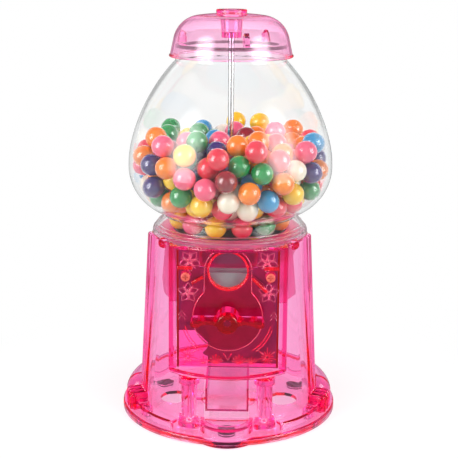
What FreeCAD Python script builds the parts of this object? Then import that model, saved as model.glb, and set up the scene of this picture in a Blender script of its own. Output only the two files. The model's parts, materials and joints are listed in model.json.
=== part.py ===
import FreeCAD, Part
import math
import os
import random
import re
import Sketcher
from FreeCAD import Placement, Rotation, Vector

# Gumball machine in millimetres. Z is up, the rod stands on the Z axis, the front faces -Y and the feet
# stand on z = 0. Every driving size is a cell of the sheet Sizes, and sizes are written as its aliases.

SIZES = [
    # Round base
    ("foot_lift", "1.5"),
    ("foot_radius", "5.8"),
    ("foot_recess", "1.0"),
    ("flange_radius", "73.6"),
    ("foot_inset", "18.6"),
    ("foot_circle", "=flange_radius - foot_inset"),
    ("flange_edge", "3"),
    ("flange_round", "1.5"),
    ("step_inset", "5.3"),
    ("step_radius", "=flange_radius - step_inset"),
    ("step_height", "4.6"),
    ("step_round", "1.6"),
    ("shell_wall", "2.2"),
    ("plate_thickness", "2.2"),
    ("fit_gap", "0.3"),
    ("base_screw_inset", "5.9"),
    ("base_screw_circle", "=step_radius - base_screw_inset"),
    ("base_boss_radius", "3.6"),
    # Body above the base
    ("body_inset", "13"),
    ("body_foot_radius", "=flange_radius - body_inset"),
    ("body_top_radius", "52.5"),
    ("body_top", "125.5"),
    ("top_round", "1.5"),
    ("top_slack", "1.1"),
    ("frame_half_width", "38"),
    ("frame_front", "45.6"),
    ("frame_back", "30"),
    ("post_width", "4.5"),
    ("stop_width", "1.6"),
    ("ledge_top", "43"),
    ("ledge_thickness", "2.5"),
    ("ledge_inset", "0.8"),
    ("ledge_radius", "=body_foot_radius - ledge_inset"),
    ("bulge_radius", "11.5"),
    ("bulge_inset", "0.6"),
    ("bulge_circle", "=body_foot_radius - bulge_inset"),
    ("bulge_turn", "180"),
    ("reed_radius", "1.7"),
    ("reed_angle", "72"),
    ("reed_spacing", "4.4"),
    ("reed_drop", "0.4"),
    ("reed_lift", "1.6"),
    ("reed_foot_inset", "3.2"),
    ("reed_foot_radius", "=flange_radius - reed_foot_inset"),
    ("reed_foot_height", "16.4"),
    ("reed_foot_turn", "15"),
    ("sill_turn", "62"),
    ("sill_end", "4"),
    ("sill_inset", "4.7"),
    ("sill_radius", "=step_radius - sill_inset"),
    ("reed_bend", "2.6"),
    ("scroll_radius", "3.4"),
    ("scroll_eye", "1.3"),
    ("scroll_back", "24"),
    ("scroll_front", "33.5"),
    ("scroll_offset", "4.3"),
    ("scroll_drop", "1.1"),
    ("column_radius", "5.4"),
    ("column_offset", "24.3"),
    ("flute_radius", "0.9"),
    ("flute_turn", "42"),
    ("capital_radius", "7"),
    ("capital_height", "3.6"),
    # Delivery opening and tray
    ("tray_half_width", "14.8"),
    ("tray_inset", "16.6"),
    ("tray_centre", "=flange_radius - tray_inset"),
    ("lip_reach", "4"),
    ("tray_run", "7"),
    ("tray_back", "=tray_centre - tray_run"),
    ("tray_top", "14.2"),
    ("tray_floor", "12.2"),
    # Faceplate
    ("face_thickness", "2.5"),
    ("pad_height", "3"),
    ("pad_radius", "22.6"),
    ("pad_neck", "15.2"),
    ("window_height", "109.7"),
    ("window_radius", "12.2"),
    ("face_screw_offset", "27.4"),
    ("face_screw_height", "105"),
    ("screw_head_radius", "3"),
    ("screw_head_height", "1.8"),
    ("screw_shank_radius", "1.5"),
    ("screw_length", "8"),
    ("screw_gap", "0.15"),
    # Handle and shaft
    ("handle_height", "78.6"),
    ("hub_base_radius", "7.8"),
    ("hub_front_radius", "6.8"),
    ("hub_length", "14.2"),
    ("wing_half_length", "23.6"),
    ("wing_half_thickness", "2.3"),
    ("wing_depth", "11.5"),
    ("scoop_outer", "19"),
    ("scoop_inner", "5"),
    ("scoop_radius", "11.8"),
    ("shaft_radius", "2.5"),
    ("running_gap", "0.06"),
    ("socket_gap", "0.03"),
    ("shaft_socket", "10"),
    ("coin_wheel_thickness", "2.4"),
    ("coin_notch_radius", "12.6"),
    ("coin_notch_turn", "215"),
    ("coin_flat_depth", "2.6"),
    ("coin_notch_inset", "1.2"),
    ("housing_thickness", "2"),
    ("housing_lift", "1.5"),
    ("drop_side", "13"),
    ("drop_top", "67"),
    ("drop_slope", "8"),
    ("clip_radius", "4.4"),
    ("clip_thickness", "1"),
    # Pin gear pair
    ("tooth_module", "2"),
    ("drive_teeth", "12"),
    ("crown_teeth", "18"),
    ("drive_face", "6"),
    ("drive_addendum", "1.7"),
    ("drive_dedendum", "3.4"),
    ("tooth_root_width", "2.3"),
    ("tooth_tip_width", "1.4"),
    ("sleeve_radius", "5"),
    ("pin_radius", "1.3"),
    ("pin_reach", "1.9"),
    ("crown_thickness", "3"),
    ("crown_hub_radius", "10"),
    # Hopper, wheel and rod
    ("bowl_radius", "40.8"),
    ("bowl_wall", "2"),
    ("bowl_floor", "110.2"),
    ("hopper_flange", "48.2"),
    ("hopper_flange_thickness", "2"),
    ("wing_radius", "44.5"),
    ("wing_bottom", "83.5"),
    ("wing_back", "24"),
    ("wing_corner", "9"),
    ("exit_radius", "8.4"),
    ("exit_circle", "30"),
    ("wheel_gap", "0.4"),
    ("wheel_height", "15"),
    ("pocket_count", "6"),
    ("pocket_radius", "8.2"),
    ("pocket_circle", "30.6"),
    ("cone_radius", "13"),
    ("cone_top_radius", "5"),
    ("cone_height", "5"),
    ("guard_thickness", "1.8"),
    ("guard_inner", "20"),
    ("guard_outer", "39.4"),
    ("guard_turn", "50"),
    ("guard_lift", "1.2"),
    ("bracket_half_length", "36"),
    ("bracket_half_width", "7"),
    ("bracket_thickness", "2.8"),
    ("bracket_drop", "2.2"),
    ("post_circle", "30"),
    ("post_radius", "4.4"),
    ("lug_half_width", "6"),
    ("lug_thickness", "4"),
    ("lug_back", "9"),
    ("lug_below", "6"),
    ("rod_radius", "2"),
    ("rod_tail", "2"),
    ("nut_flats", "7"),
    ("nut_height", "3.2"),
    ("washer_radius", "4.2"),
    ("washer_height", "0.8"),
    # Coin wheel, in the room between the niche's ledge and the hopper's floor
    ("coin_wheel_radius", "=min(bowl_floor - handle_height; handle_height - ledge_top) - wheel_gap"),
    ("coin_wheel_flat", "=coin_wheel_radius - coin_flat_depth"),
    ("coin_notch_circle", "=coin_wheel_radius - coin_notch_inset"),
    # Chute
    ("chute_half_width", "14.2"),
    ("chute_wall", "1.3"),
    ("chute_bend_radius", "18"),
    ("bend_slack", "1.05"),
    ("bend_rise", "0.9"),
    ("chute_slope", "7"),
    ("chute_reach", "1"),
    ("chute_front", "=tray_back + chute_reach"),
    ("chute_side", "16"),
    ("chute_lip_gap", "3.2"),
    # Coin plug
    ("vent_offset", "37"),
    ("vent_radius", "11"),
    ("plug_radius", "19.6"),
    ("plug_tab_reach", "4"),
    ("plug_tab_height", "2"),
    ("plug_tab_half_width", "6"),
    ("plug_grip_height", "1"),
    ("plug_grip_half_width", "2"),
    # Globe
    ("globe_wall", "1.8"),
    ("globe_radius", "67.7"),
    ("belly_height", "170"),
    ("belly_radius", "70"),
    ("belly_turn", "15"),
    ("shoulder_radius", "119.7"),
    ("under_radius", "32.1"),
    ("pinch_radius", "44.3"),
    ("pinch_round", "2.5"),
    ("flare_radius", "52"),
    ("flare_rim", "2"),
    ("neck_radius", "36.5"),
    ("neck_top", "250"),
    ("neck_lip", "5.5"),
    ("neck_lip_thickness", "2"),
    # Lid and knob
    ("lid_wall", "1.5"),
    ("lid_gap", "0.4"),
    ("lid_lean", "12.5"),
    ("lid_drop", "8.1"),
    ("lid_bead", "0.8"),
    ("lid_wall_rise", "3.9"),
    ("lid_corner_radius", "18.5"),
    ("lid_crown_turn", "7.66"),
    ("lid_hole_radius", "7.7"),
    ("lid_rib_thickness", "3"),
    ("lid_rib_inner", "4"),
    ("lid_rib_height", "9"),
    ("lid_rib_slope", "3"),
    ("lid_rib_turn", "287"),
    ("knob_flange_radius", "10"),
    ("knob_flange_height", "2.2"),
    ("knob_cup_radius", "7.2"),
    ("knob_cup_bottom_radius", "6.6"),
    ("knob_cup_depth", "15.6"),
    ("knob_wall", "1.6"),
    ("bush_height", "4"),
    ("bush_gap", "0.1"),
    # Gumballs
    ("ball_radius", "7.1"),
    ("ball_gap", "0.2"),
    ("fill_height", "191"),
]

BALL_COLOURS = {
    "white": 12,
    "yellow": 13,
    "orange": 13,
    "coral": 13,
    "pink": 14,
    "green": 13,
    "blue": 12,
    "purple": 8,
    "maroon": 6,
}
BALL_SEED = 11
DROP_GRID = 1.3
DROP_CHOICE = 0.7
GUARD_MARGIN = 22
RING_BALLS = 13
GUARD_CLEAR = 50
RING_COLOURS = {0: "coral", 1: "green", 2: "orange", 7: "yellow", 8: "pink", 9: "yellow"}

# Shares of a screw head's size: its round, its cross and the band that counts as its end
HEAD_ROUND = 0.4
CROSS_ARM = 0.6
CROSS_DEPTH = 0.45
CROSS_WIDTH = 0.45
NEAR_END = 0.9

doc = FreeCAD.newDocument("GumballMachine")
sheet = doc.addObject("Spreadsheet::Sheet", "Sizes")
for row, (alias, value) in enumerate(SIZES, 1):
    sheet.set(f"A{row}", alias)
    sheet.set(f"B{row}", value)
    sheet.setAlias(f"B{row}", alias)
doc.recompute()
ALIAS = re.compile(r"\b(" + "|".join(alias for alias, value in SIZES) + r")\b")

# Heights, depths and radii that several pieces share, worked out from the sheet
FLANGE_TOP = "(foot_lift + flange_edge + flange_round)"
DECK_TOP = f"({FLANGE_TOP} + step_height)"
PLATE_TOP = "(foot_lift + plate_thickness)"
PLATE_RADIUS = "(flange_radius - shell_wall - fit_gap)"
BODY_LEAN = f"((body_foot_radius - body_top_radius) / (body_top - {DECK_TOP}))"
FACE_SCREW_SPREAD = "(coin_wheel_radius + screw_head_radius + fit_gap * 2)"
FACE_SCREW_LOW = f"(handle_height + sqrt({FACE_SCREW_SPREAD}^2 - face_screw_offset^2))"
FACE_SCREW_Z = f"max(face_screw_height; {FACE_SCREW_LOW})"
NICHE_HALF_WIDTH = "(frame_half_width - post_width)"
FACE_FRONT = "(frame_front - shell_wall + fit_gap * 2)"
FACE_BACK = f"({FACE_FRONT} - face_thickness)"
FACE_TOP = "(body_top - shell_wall - fit_gap)"
PAD_FRONT = f"({FACE_FRONT} + pad_height)"
HUB_BACK = f"({PAD_FRONT} + fit_gap)"
COIN_WHEEL_FRONT = f"({FACE_BACK} - fit_gap)"
COIN_WHEEL_BACK = f"({COIN_WHEEL_FRONT} - coin_wheel_thickness)"
HOUSING_FRONT = f"({COIN_WHEEL_BACK} - wheel_gap)"
HOUSING_BACK = f"({HOUSING_FRONT} - housing_thickness)"
WING_FRONT = f"({HOUSING_BACK} - fit_gap)"
DRIVE_PITCH = "(tooth_module * drive_teeth / 2)"
CROWN_PITCH = "(tooth_module * crown_teeth / 2)"
MESH_HEIGHT = f"(handle_height + {DRIVE_PITCH})"
CROWN_BOTTOM = f"({MESH_HEIGHT} + drive_addendum + wheel_gap * 2)"
CROWN_RADIUS = f"({CROWN_PITCH} + pin_radius + wheel_gap)"
FLOOR_TOP = "(bowl_floor + bowl_wall)"
WHEEL_BOTTOM = f"({FLOOR_TOP} + wheel_gap)"
WHEEL_TOP = f"({WHEEL_BOTTOM} + wheel_height)"
BOWL_INNER = "(bowl_radius - bowl_wall)"
WHEEL_RADIUS = f"({BOWL_INNER} - wheel_gap)"
BRACKET_TOP = f"({MESH_HEIGHT} - pin_reach - bracket_drop + wheel_gap * 2)"
BRACKET_BOTTOM = f"({BRACKET_TOP} - bracket_thickness)"
LUG_FRONT = "(lug_back + lug_thickness)"
SHAFT_BACK = "(lug_back - clip_thickness - fit_gap * 2)"
BELLY_AXIS = "(globe_radius - belly_radius)"
UNDER_AXIS = "(globe_radius - under_radius)"
SHOULDER_START_R = f"({BELLY_AXIS} + belly_radius * cos(belly_turn))"
SHOULDER_START_Z = "(belly_height + belly_radius * sin(belly_turn))"
SHOULDER_AXIS_R = f"({SHOULDER_START_R} - shoulder_radius * cos(belly_turn))"
SHOULDER_AXIS_Z = f"({SHOULDER_START_Z} - shoulder_radius * sin(belly_turn))"


def bound(text):
    """The expression with each alias written as a cell of the sheet."""
    return ALIAS.sub(r"Sizes.\1", text)


def size(text):
    """The value of an expression of the sheet's aliases."""
    return float(sheet.evalExpression(text))


def bind(thing, **sizes):
    """Bind properties of an object to expressions of the sheet's aliases."""
    for name, text in sizes.items():
        thing.setExpression(name.replace("__", "."), bound(text))
    return thing


def place(thing, x="0", y="0", z="0"):
    return bind(thing, Placement__Base__x=x, Placement__Base__y=y, Placement__Base__z=z)


def arc_between(start, end, radius, side):
    """The arc of under a half turn from start to end; side 1 curves left of the way, -1 right."""
    middle = (start + end) * 0.5
    chord = end - start
    rise = math.sqrt(max(radius**2 - chord.Length**2 / 4, 0))
    normal = Vector(-chord.y, chord.x, 0).normalize()
    centre = middle + normal * (rise * side)
    circle = Part.Circle(centre, Vector(0, 0, 1), radius)
    first, last = (start, end) if side > 0 else (end, start)
    return Part.ArcOfCircle(circle, circle.parameter(first), circle.parameter(last))


def draw(sketch, outline):
    """A closed outline of points (x, y), or (x, y, radius, side) where an arc leads to the point."""
    points = [Vector(size(point[0]), size(point[1]), 0) for point in outline]
    ends = []
    for index, point in enumerate(outline):
        start, end = points[index - 1], points[index]
        if len(point) == 2:
            number = sketch.addGeometry(Part.LineSegment(start, end), False)
            ends.append((number, 1, 2))
        else:
            arc = arc_between(start, end, size(point[2]), point[3])
            number = sketch.addGeometry(arc, False)
            ends.append((number, 1, 2) if point[3] > 0 else (number, 2, 1))
    for index, (number, first, last) in enumerate(ends):
        after = ends[(index + 1) % len(ends)]
        sketch.addConstraint(Sketcher.Constraint("Coincident", number, last, after[0], after[1]))
        for kind, axis, text in (("DistanceX", -2, outline[index][0]), ("DistanceY", -1, outline[index][1])):
            if text == "0":
                sketch.addConstraint(Sketcher.Constraint("PointOnObject", number, last, axis))
                continue
            limit = sketch.addConstraint(Sketcher.Constraint(kind, -1, 1, number, last, size(text)))
            sketch.setExpression(f"Constraints[{limit}]", bound(text))
        if len(outline[index]) == 4:
            limit = sketch.addConstraint(Sketcher.Constraint("Radius", number, size(outline[index][2])))
            sketch.setExpression(f"Constraints[{limit}]", bound(outline[index][2]))


def draw_circle(sketch, x, y, radius):
    circle = Part.Circle(Vector(size(x), size(y), 0), Vector(0, 0, 1), size(radius))
    number = sketch.addGeometry(circle, False)
    for kind, axis, text in (("DistanceX", -2, x), ("DistanceY", -1, y)):
        if text == "0":
            sketch.addConstraint(Sketcher.Constraint("PointOnObject", number, 3, axis))
            continue
        limit = sketch.addConstraint(Sketcher.Constraint(kind, -1, 1, number, 3, size(text)))
        sketch.setExpression(f"Constraints[{limit}]", bound(text))
    limit = sketch.addConstraint(Sketcher.Constraint("Radius", number, size(radius)))
    sketch.setExpression(f"Constraints[{limit}]", bound(radius))


def new_body(label):
    body = doc.addObject("PartDesign::Body", label)
    body.Label = label
    return body


def facing_front(body, height="0"):
    """Turn a body built on its own XY plane so that its z runs forward (-Y) and its y runs up."""
    body.Placement = Placement(Vector(0, 0, 0), Rotation(Vector(1, 0, 0), 90))
    return place(body, z=height)


def origin_plane(body, role):
    return next(item for item in body.Origin.OriginFeatures if item.Role == role)


def new_sketch(body, role, outlines, lift="0"):
    """A sketch on one of the body's origin planes; an outline of three texts is a circle x, y, radius."""
    sketch = body.newObject("Sketcher::SketchObject", f"{body.Name}_sketch")
    sketch.AttachmentSupport = [(origin_plane(body, role), "")]
    sketch.MapMode = "FlatFace"
    bind(sketch, AttachmentOffset__Base__z=lift)
    for outline in outlines:
        if isinstance(outline, tuple):
            draw_circle(sketch, *outline)
        else:
            draw(sketch, outline)
    doc.recompute()
    return sketch


def revolve(body, outline, turn="360"):
    """Turn an outline of (radius, height) points about the body's Z axis."""
    sketch = new_sketch(body, "XZ_Plane", [outline])
    feature = body.newObject("PartDesign::Revolution", f"{body.Name}_turned")
    feature.Profile = sketch
    feature.ReferenceAxis = (sketch, ["V_Axis"])
    bind(feature, Angle=turn)
    doc.recompute()
    return feature


def pad(body, outlines, low, length, role="XY_Plane", symmetric=False):
    sketch = new_sketch(body, role, outlines, low)
    feature = body.newObject("PartDesign::Pad", f"{body.Name}_pad")
    feature.Profile = sketch
    if symmetric:
        feature.SideType = "Symmetric"
    bind(feature, Length=length)
    doc.recompute()
    return feature


def pocket(body, outlines, top, depth, role="XY_Plane", symmetric=False):
    """Cut outlines from the plane at top downwards, and make sure that something was cut."""
    before = body.Shape.Volume
    sketch = new_sketch(body, role, outlines, top)
    feature = body.newObject("PartDesign::Pocket", f"{body.Name}_pocket")
    feature.Profile = sketch
    if symmetric:
        feature.SideType = "Symmetric"
    bind(feature, Length=depth)
    doc.recompute()
    if body.Shape.Volume >= before:
        raise RuntimeError(f"{body.Label}: a pocket cut nothing")
    return feature


def polar(body, features, count):
    pattern = body.newObject("PartDesign::PolarPattern", f"{body.Name}_polar")
    pattern.Originals = features
    pattern.Axis = (next(item for item in body.Origin.OriginFeatures if item.Role == "Z_Axis"), [""])
    pattern.Angle = 360
    bind(pattern, Occurrences=count)
    body.Tip = pattern
    doc.recompute()
    return pattern


def box(name, low, high):
    """A box between two corners, each three expressions."""
    thing = doc.addObject("Part::Box", name)
    spans = [f"({high[axis]}) - ({low[axis]})" for axis in range(3)]
    bind(thing, Length=spans[0], Width=spans[1], Height=spans[2])
    return place(thing, *low)


def cylinder(name, radius, height, x="0", y="0", z="0"):
    thing = doc.addObject("Part::Cylinder", name)
    bind(thing, Radius=radius, Height=height)
    return place(thing, x, y, z)


def forward_cylinder(name, radius, back, front, x, z):
    """A cylinder along the front-back direction, from back to front in front of the axis."""
    thing = doc.addObject("Part::Cylinder", name)
    thing.Placement = Placement(Vector(0, 0, 0), Rotation(Vector(1, 0, 0), 90))
    bind(thing, Radius=radius, Height=f"({front}) - ({back})")
    return place(thing, x, f"-({back})", z)


def fuse(name, pieces):
    thing = doc.addObject("Part::MultiFuse", name)
    thing.Shapes = pieces
    return thing


def common(name, pieces):
    thing = doc.addObject("Part::MultiCommon", name)
    thing.Shapes = pieces
    return thing


def cut(name, base, tools):
    thing = doc.addObject("Part::Cut", name)
    thing.Base = base
    thing.Tool = tools[0] if len(tools) == 1 else fuse(f"{name}_tools", tools)
    return thing


def labelled(thing, label):
    thing.Label = label
    return thing


def group(label, shapes):
    """A node of several separate solids."""
    thing = doc.addObject("Part::Feature", label)
    thing.Shape = Part.makeCompound(shapes)
    thing.Label = label
    return thing


# Pedestal

def reed(angle):
    """A round moulding down the body, out over the pilaster's foot and down to the flange."""
    radius, bend = size("reed_radius"), size("reed_bend")
    top = size("body_top - reed_drop")
    lean, foot = size(BODY_LEAN), size("reed_foot_height")
    corners = [
        Vector(size("body_top_radius + reed_lift"), 0, top),
        Vector(size("body_top_radius") + lean * (size("body_top") - foot), 0, foot),
        Vector(size("reed_foot_radius"), 0, foot),
        Vector(size("reed_foot_radius"), 0, size(FLANGE_TOP)),
    ]
    edges, start = [], corners[0]
    for before, corner, after in zip(corners, corners[1:], corners[2:]):
        inward = (before - corner).normalize()
        onward = (after - corner).normalize()
        half = inward.getAngle(onward) / 2
        back = bend / math.tan(half)
        middle = corner + (inward + onward).normalize() * (bend / math.sin(half) - bend)
        edges.append(Part.LineSegment(start, corner + inward * back).toShape())
        edges.append(Part.Arc(corner + inward * back, middle, corner + onward * back).toShape())
        start = corner + onward * back
    edges.append(Part.LineSegment(start, corners[-1]).toShape())
    path = Part.Wire(edges)
    ring = Part.Wire(Part.makeCircle(radius, corners[0], corners[1] - corners[0]))
    shape = path.makePipeShell([ring], True, False).fuse(Part.makeSphere(radius, corners[0]))
    shape.rotate(Vector(0, 0, 0), Vector(0, 0, 1), angle)
    return shape


def reeds():
    """Three reeds side by side on the left and on the right."""
    middle, spacing = size("reed_angle"), size("reed_spacing")
    shapes = []
    for side in (-1, 1):
        for step in (-1, 0, 1):
            shapes.append(reed(-90 + side * (middle + step * spacing)))
    return [group(f"reed_{number}", [shape]) for number, shape in enumerate(shapes, 1)]


def sector(label, outline, turn, middle):
    """An outline turned about the axis through an angle, centred on a direction."""
    body = new_body(label)
    revolve(body, outline, turn)
    body.Placement = Placement(Vector(0, 0, 0), Rotation(Vector(0, 0, 1), 0))
    return bind(body, Placement__Rotation__Angle=f"{middle} - {turn} / 2")


def ring_outline(inner, outer, low, high):
    return [(inner, low), (outer, low), (outer, high), (inner, high)]


def reed_foot(side):
    """The raised foot that the reeds run down over."""
    tag = "left" if side < 0 else "right"
    outline = [
        ("body_foot_radius - shell_wall", FLANGE_TOP),
        ("reed_foot_radius", FLANGE_TOP),
        ("reed_foot_radius", "reed_foot_height - step_round"),
        ("reed_foot_radius - step_round", "reed_foot_height", "step_round", 1),
        ("body_foot_radius - shell_wall", "reed_foot_height"),
    ]
    return sector(f"reed_foot_{tag}", outline, "reed_foot_turn", f"(270 + {side} * reed_angle)")


def column(side):
    """A short column with a capital and a foot, half sunk in the wall beside the delivery opening."""
    x = f"{side} * column_offset"
    low, high = DECK_TOP, "(ledge_top - ledge_thickness)"
    radius = f"(body_foot_radius - {BODY_LEAN} * ({low} + {high}) / 2)"
    y = f"-sqrt({radius}^2 - column_offset^2)"
    tag = "left" if side < 0 else "right"
    shaft = cylinder(f"column_{tag}", "column_radius", f"{high} - {low}", x, y, low)
    flutes = []
    for step in (-1, 0, 1):
        aside = f"{x} + column_radius * sin({step} * flute_turn)"
        ahead = f"{y} - column_radius * cos({step} * flute_turn)"
        name = f"flute_{tag}_{step + 2}"
        flutes.append(cylinder(name, "flute_radius", f"{high} - {low}", aside, ahead, low))
    shaft = cut(f"fluted_{tag}", shaft, flutes)
    plinth = f"{low} + capital_height - {FLANGE_TOP}"
    foot = cylinder(f"column_foot_{tag}", "capital_radius", plinth, x, y, FLANGE_TOP)
    capital = cylinder(f"capital_{tag}", "capital_radius", "capital_height", x, y, f"{high} - capital_height")
    return [shaft, foot, capital]


def scroll(side):
    """A rolled scroll end on the body's shoulder, with a round eye, clear of the globe's foot."""
    x = f"{side} * (frame_half_width + scroll_offset)"
    z = "body_top - scroll_drop"
    tag = "left" if side < 0 else "right"
    roll = forward_cylinder(f"scroll_{tag}", "scroll_radius", "scroll_back", "scroll_front", x, z)
    low, high = "(scroll_front - scroll_eye)", "(scroll_front + scroll_eye)"
    eye = forward_cylinder(f"eye_{tag}", "scroll_eye", low, high, x, z)
    seat = cylinder(f"globe_seat_{tag}", "flare_radius + fit_gap", "scroll_radius * 2", z="body_top")
    return cut(f"volute_{tag}", roll, [eye, seat])


def bulge(label, radius, inner, low):
    """A rounded moulding round the back of the base, with its upright inner side in the body's wall."""
    outline = [
        (inner, low),
        (f"bulge_circle + {radius}", low),
        (f"bulge_circle + {radius}", DECK_TOP),
        (inner, f"{DECK_TOP} + sqrt({radius}^2 - ({inner} - bulge_circle)^2)", radius, 1),
    ]
    return sector(label, outline, "bulge_turn", "90")


def bulge_end(side):
    """The bulge's rounded end: a half ball on a short drum."""
    tag = "left" if side < 0 else "right"
    end = new_body(f"bulge_end_{tag}")
    top = f"({DECK_TOP} + bulge_radius)"
    revolve(
        end,
        [
            ("0", FLANGE_TOP),
            ("bulge_radius", FLANGE_TOP),
            ("bulge_radius", DECK_TOP),
            ("0", top, "bulge_radius", 1),
        ],
    )
    turn = "((180 - bulge_turn) / 2)"
    return place(end, f"{side} * bulge_circle * cos{turn}", f"bulge_circle * sin{turn}")


def tray_outline(margin, back):
    """The delivery tray's plan, from inside the body to its round front."""
    half = f"(tray_half_width + {margin})"
    return [
        (half, f"-({back})"),
        (f"-{half}", f"-({back})"),
        (f"-{half}", "-tray_centre"),
        ("0", f"-(tray_centre + {half})", half, 1),
        (half, "-tray_centre", half, 1),
    ]


def tray_block(label, margin, low, high, back="tray_back"):
    body = new_body(label)
    pad(body, [tray_outline(margin, back)], low, f"{high} - ({low})")
    return body


def pedestal():
    """The pink moulding: round base, conical body, framed niche, tray, mouldings and screw bosses."""
    outside = new_body("pedestal_outside")
    revolve(
        outside,
        [
            ("0", "foot_lift"),
            ("flange_radius", "foot_lift"),
            ("flange_radius", "foot_lift + flange_edge"),
            ("flange_radius - flange_round", FLANGE_TOP, "flange_round", 1),
            ("step_radius", FLANGE_TOP),
            ("step_radius", f"{DECK_TOP} - step_round"),
            ("step_radius - step_round", DECK_TOP, "step_round", 1),
            ("body_foot_radius", DECK_TOP),
            (f"body_top_radius + {BODY_LEAN} * top_round", "body_top - top_round"),
            ("body_top_radius - top_round", "body_top", "top_round * top_slack", 1),
            ("0", "body_top"),
        ],
    )
    inside = new_body("pedestal_inside")
    revolve(
        inside,
        [
            ("0", "foot_lift"),
            ("step_radius - shell_wall", "foot_lift"),
            ("step_radius - shell_wall", f"{DECK_TOP} - shell_wall"),
            ("body_foot_radius - shell_wall", f"{DECK_TOP} - shell_wall"),
            ("body_top_radius - shell_wall", "body_top - shell_wall"),
            ("0", "body_top - shell_wall"),
        ],
    )
    sill_back, sill_front = "(sill_radius - shell_wall)", "step_radius - fit_gap"
    sill_fill = ring_outline(sill_back, sill_front, f"{PLATE_TOP} + fit_gap", DECK_TOP)
    sill_cut = ring_outline("sill_radius", "flange_radius", FLANGE_TOP, f"{DECK_TOP} + fit_gap")
    sill = sector("sill_fill", sill_fill, "(sill_turn + sill_end)", "270")
    sill_face = sector("sill_cut", sill_cut, "sill_turn", "270")
    walls = fuse("pedestal_sill", [cut("pedestal_shell", outside, [inside]), sill])
    shell = cut("pedestal_walls", walls, [sill_face])
    half, low = "frame_half_width", "(ledge_top - ledge_thickness)"
    block = box("frame_block", (f"-{half}", "-frame_front", low), (half, "-frame_back", "body_top"))
    disc = cylinder("ledge_disc", "ledge_radius", "ledge_thickness", z=low)
    limit = box("ledge_limit", (f"-{half}", "-ledge_radius", low), (half, f"-{FACE_BACK}", "ledge_top"))
    lip = tray_block("lip_block", "(shell_wall + lip_reach)", "foot_lift", FLANGE_TOP)
    added = [
        block,
        common("ledge", [disc, limit]),
        tray_block("tray", "shell_wall", "foot_lift", "tray_top"),
        cut("lip", lip, [cylinder("lip_limit", "step_radius", DECK_TOP)]),
        bulge("bulge", "bulge_radius", "(body_foot_radius - shell_wall / 2)", FLANGE_TOP),
    ]
    for side in (-1, 1):
        added += column(side) + [scroll(side), bulge_end(side), reed_foot(side)]
    whole = fuse("pedestal_whole", [shell] + added + reeds())
    hollow = cut("pedestal_hollow", whole, pedestal_rooms())
    posts = base_bosses("base_boss", "base_boss_radius", f"{PLATE_TOP} + fit_gap", BOSS_TOPS)
    bosses = fuse("pedestal_bossed", [hollow] + posts)
    holes = base_bosses("base_boss_hole", "screw_shank_radius + screw_gap", PLATE_TOP, BOSS_HOLE_TOPS)
    return labelled(cut("pedestal", bosses, holes), "pedestal")


def pedestal_rooms():
    """Everything hollow in the pedestal: body, frame, niche, tray, bulge, hopper opening and plate recess."""
    inner_cone = new_body("pedestal_room")
    revolve(
        inner_cone,
        [
            ("0", "foot_lift"),
            ("body_foot_radius - shell_wall", "foot_lift"),
            ("body_foot_radius - shell_wall", DECK_TOP),
            ("body_top_radius - shell_wall", "body_top - shell_wall"),
            ("0", "body_top - shell_wall"),
        ],
    )
    half, low = "frame_half_width", "(ledge_top - ledge_thickness)"
    niche, wide = NICHE_HALF_WIDTH, "(column_offset + capital_radius)"
    top, stop = f"({FACE_TOP} + fit_gap)", f"({NICHE_HALF_WIDTH} - stop_width)"
    rear_high = ("flange_radius", "flange_radius", "body_top")
    rear = box("rear_half", ("-flange_radius", "-frame_back", "0"), rear_high)
    front = box("front_room", (f"-{wide}", "-body_foot_radius", DECK_TOP), (wide, "0", low))
    back = f"(shell_wall - {FACE_BACK})"
    cavity_top = "(body_top - shell_wall)"
    slot_low = ("-flange_radius", f"-{WING_FRONT} - wheel_gap", low)
    slot_high = ("flange_radius", "wing_back + wheel_gap", "body_top + shell_wall")
    slot = box("wing_slot", slot_low, slot_high)
    recess_height = f"{PLATE_TOP} + fit_gap - foot_lift"
    roof_low, roof_height = "body_top - shell_wall * 3 / 2", "shell_wall * 2"
    around_wings = cylinder("wing_ring", "wing_radius + wheel_gap", roof_height, z=roof_low)
    cavity_back = (f"shell_wall - {half}", back, "ledge_top")
    cavity_front = (f"{half} - shell_wall", "0", cavity_top)
    return [
        common("rear_room", [inner_cone, fuse("room_limits", [rear, front])]),
        box("frame_cavity", cavity_back, cavity_front),
        box("front_cut", (f"-{half}", "-flange_radius", "ledge_top"), (half, "-frame_front", cavity_top)),
        box("niche", (f"-{niche}", "-flange_radius", "ledge_top"), (niche, f"-{FACE_BACK}", top)),
        box("throat", (f"-{stop}", "-flange_radius", "ledge_top"), (stop, f"{back} + fit_gap", top)),
        tray_block("tray_room", "0", "tray_floor", f"{low} - fit_gap", "tray_back + shell_wall"),
        tray_block("tray_under", "0", "0", "tray_floor - shell_wall"),
        bulge("bulge_room", "(bulge_radius - shell_wall)", "(body_foot_radius + fit_gap)", "foot_lift"),
        cylinder("hopper_hole", "bowl_radius + wheel_gap", roof_height, z=roof_low),
        common("wing_holes", [slot, around_wings]),
        cylinder("plate_recess", f"{PLATE_RADIUS} + fit_gap", recess_height, z="foot_lift"),
    ]


def base_bosses(name, radius, low, tops):
    """Upright cylinders at the base screws, from one height to a height for each."""
    return [
        cylinder(f"{name}_{turn}", radius, f"{high} - ({low})", *around("base_screw_circle", turn), low)
        for turn, high in zip(BASE_SCREW_TURNS, tops)
    ]


# Base

BASE_SCREW_TURNS = (90, 210, 330)
FOOT_TURNS = (30, 150, 270)
BOSS_TOPS = (
    f"({DECK_TOP} + bulge_radius - shell_wall)",
    f"({DECK_TOP} - shell_wall / 2)",
    f"({DECK_TOP} - shell_wall / 2)",
)
BOSS_HOLE_TOPS = (f"({PLATE_TOP} + screw_length - plate_thickness)",) * 3


def around(radius, turn):
    return f"{radius} * cos({turn})", f"{radius} * sin({turn})"


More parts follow.
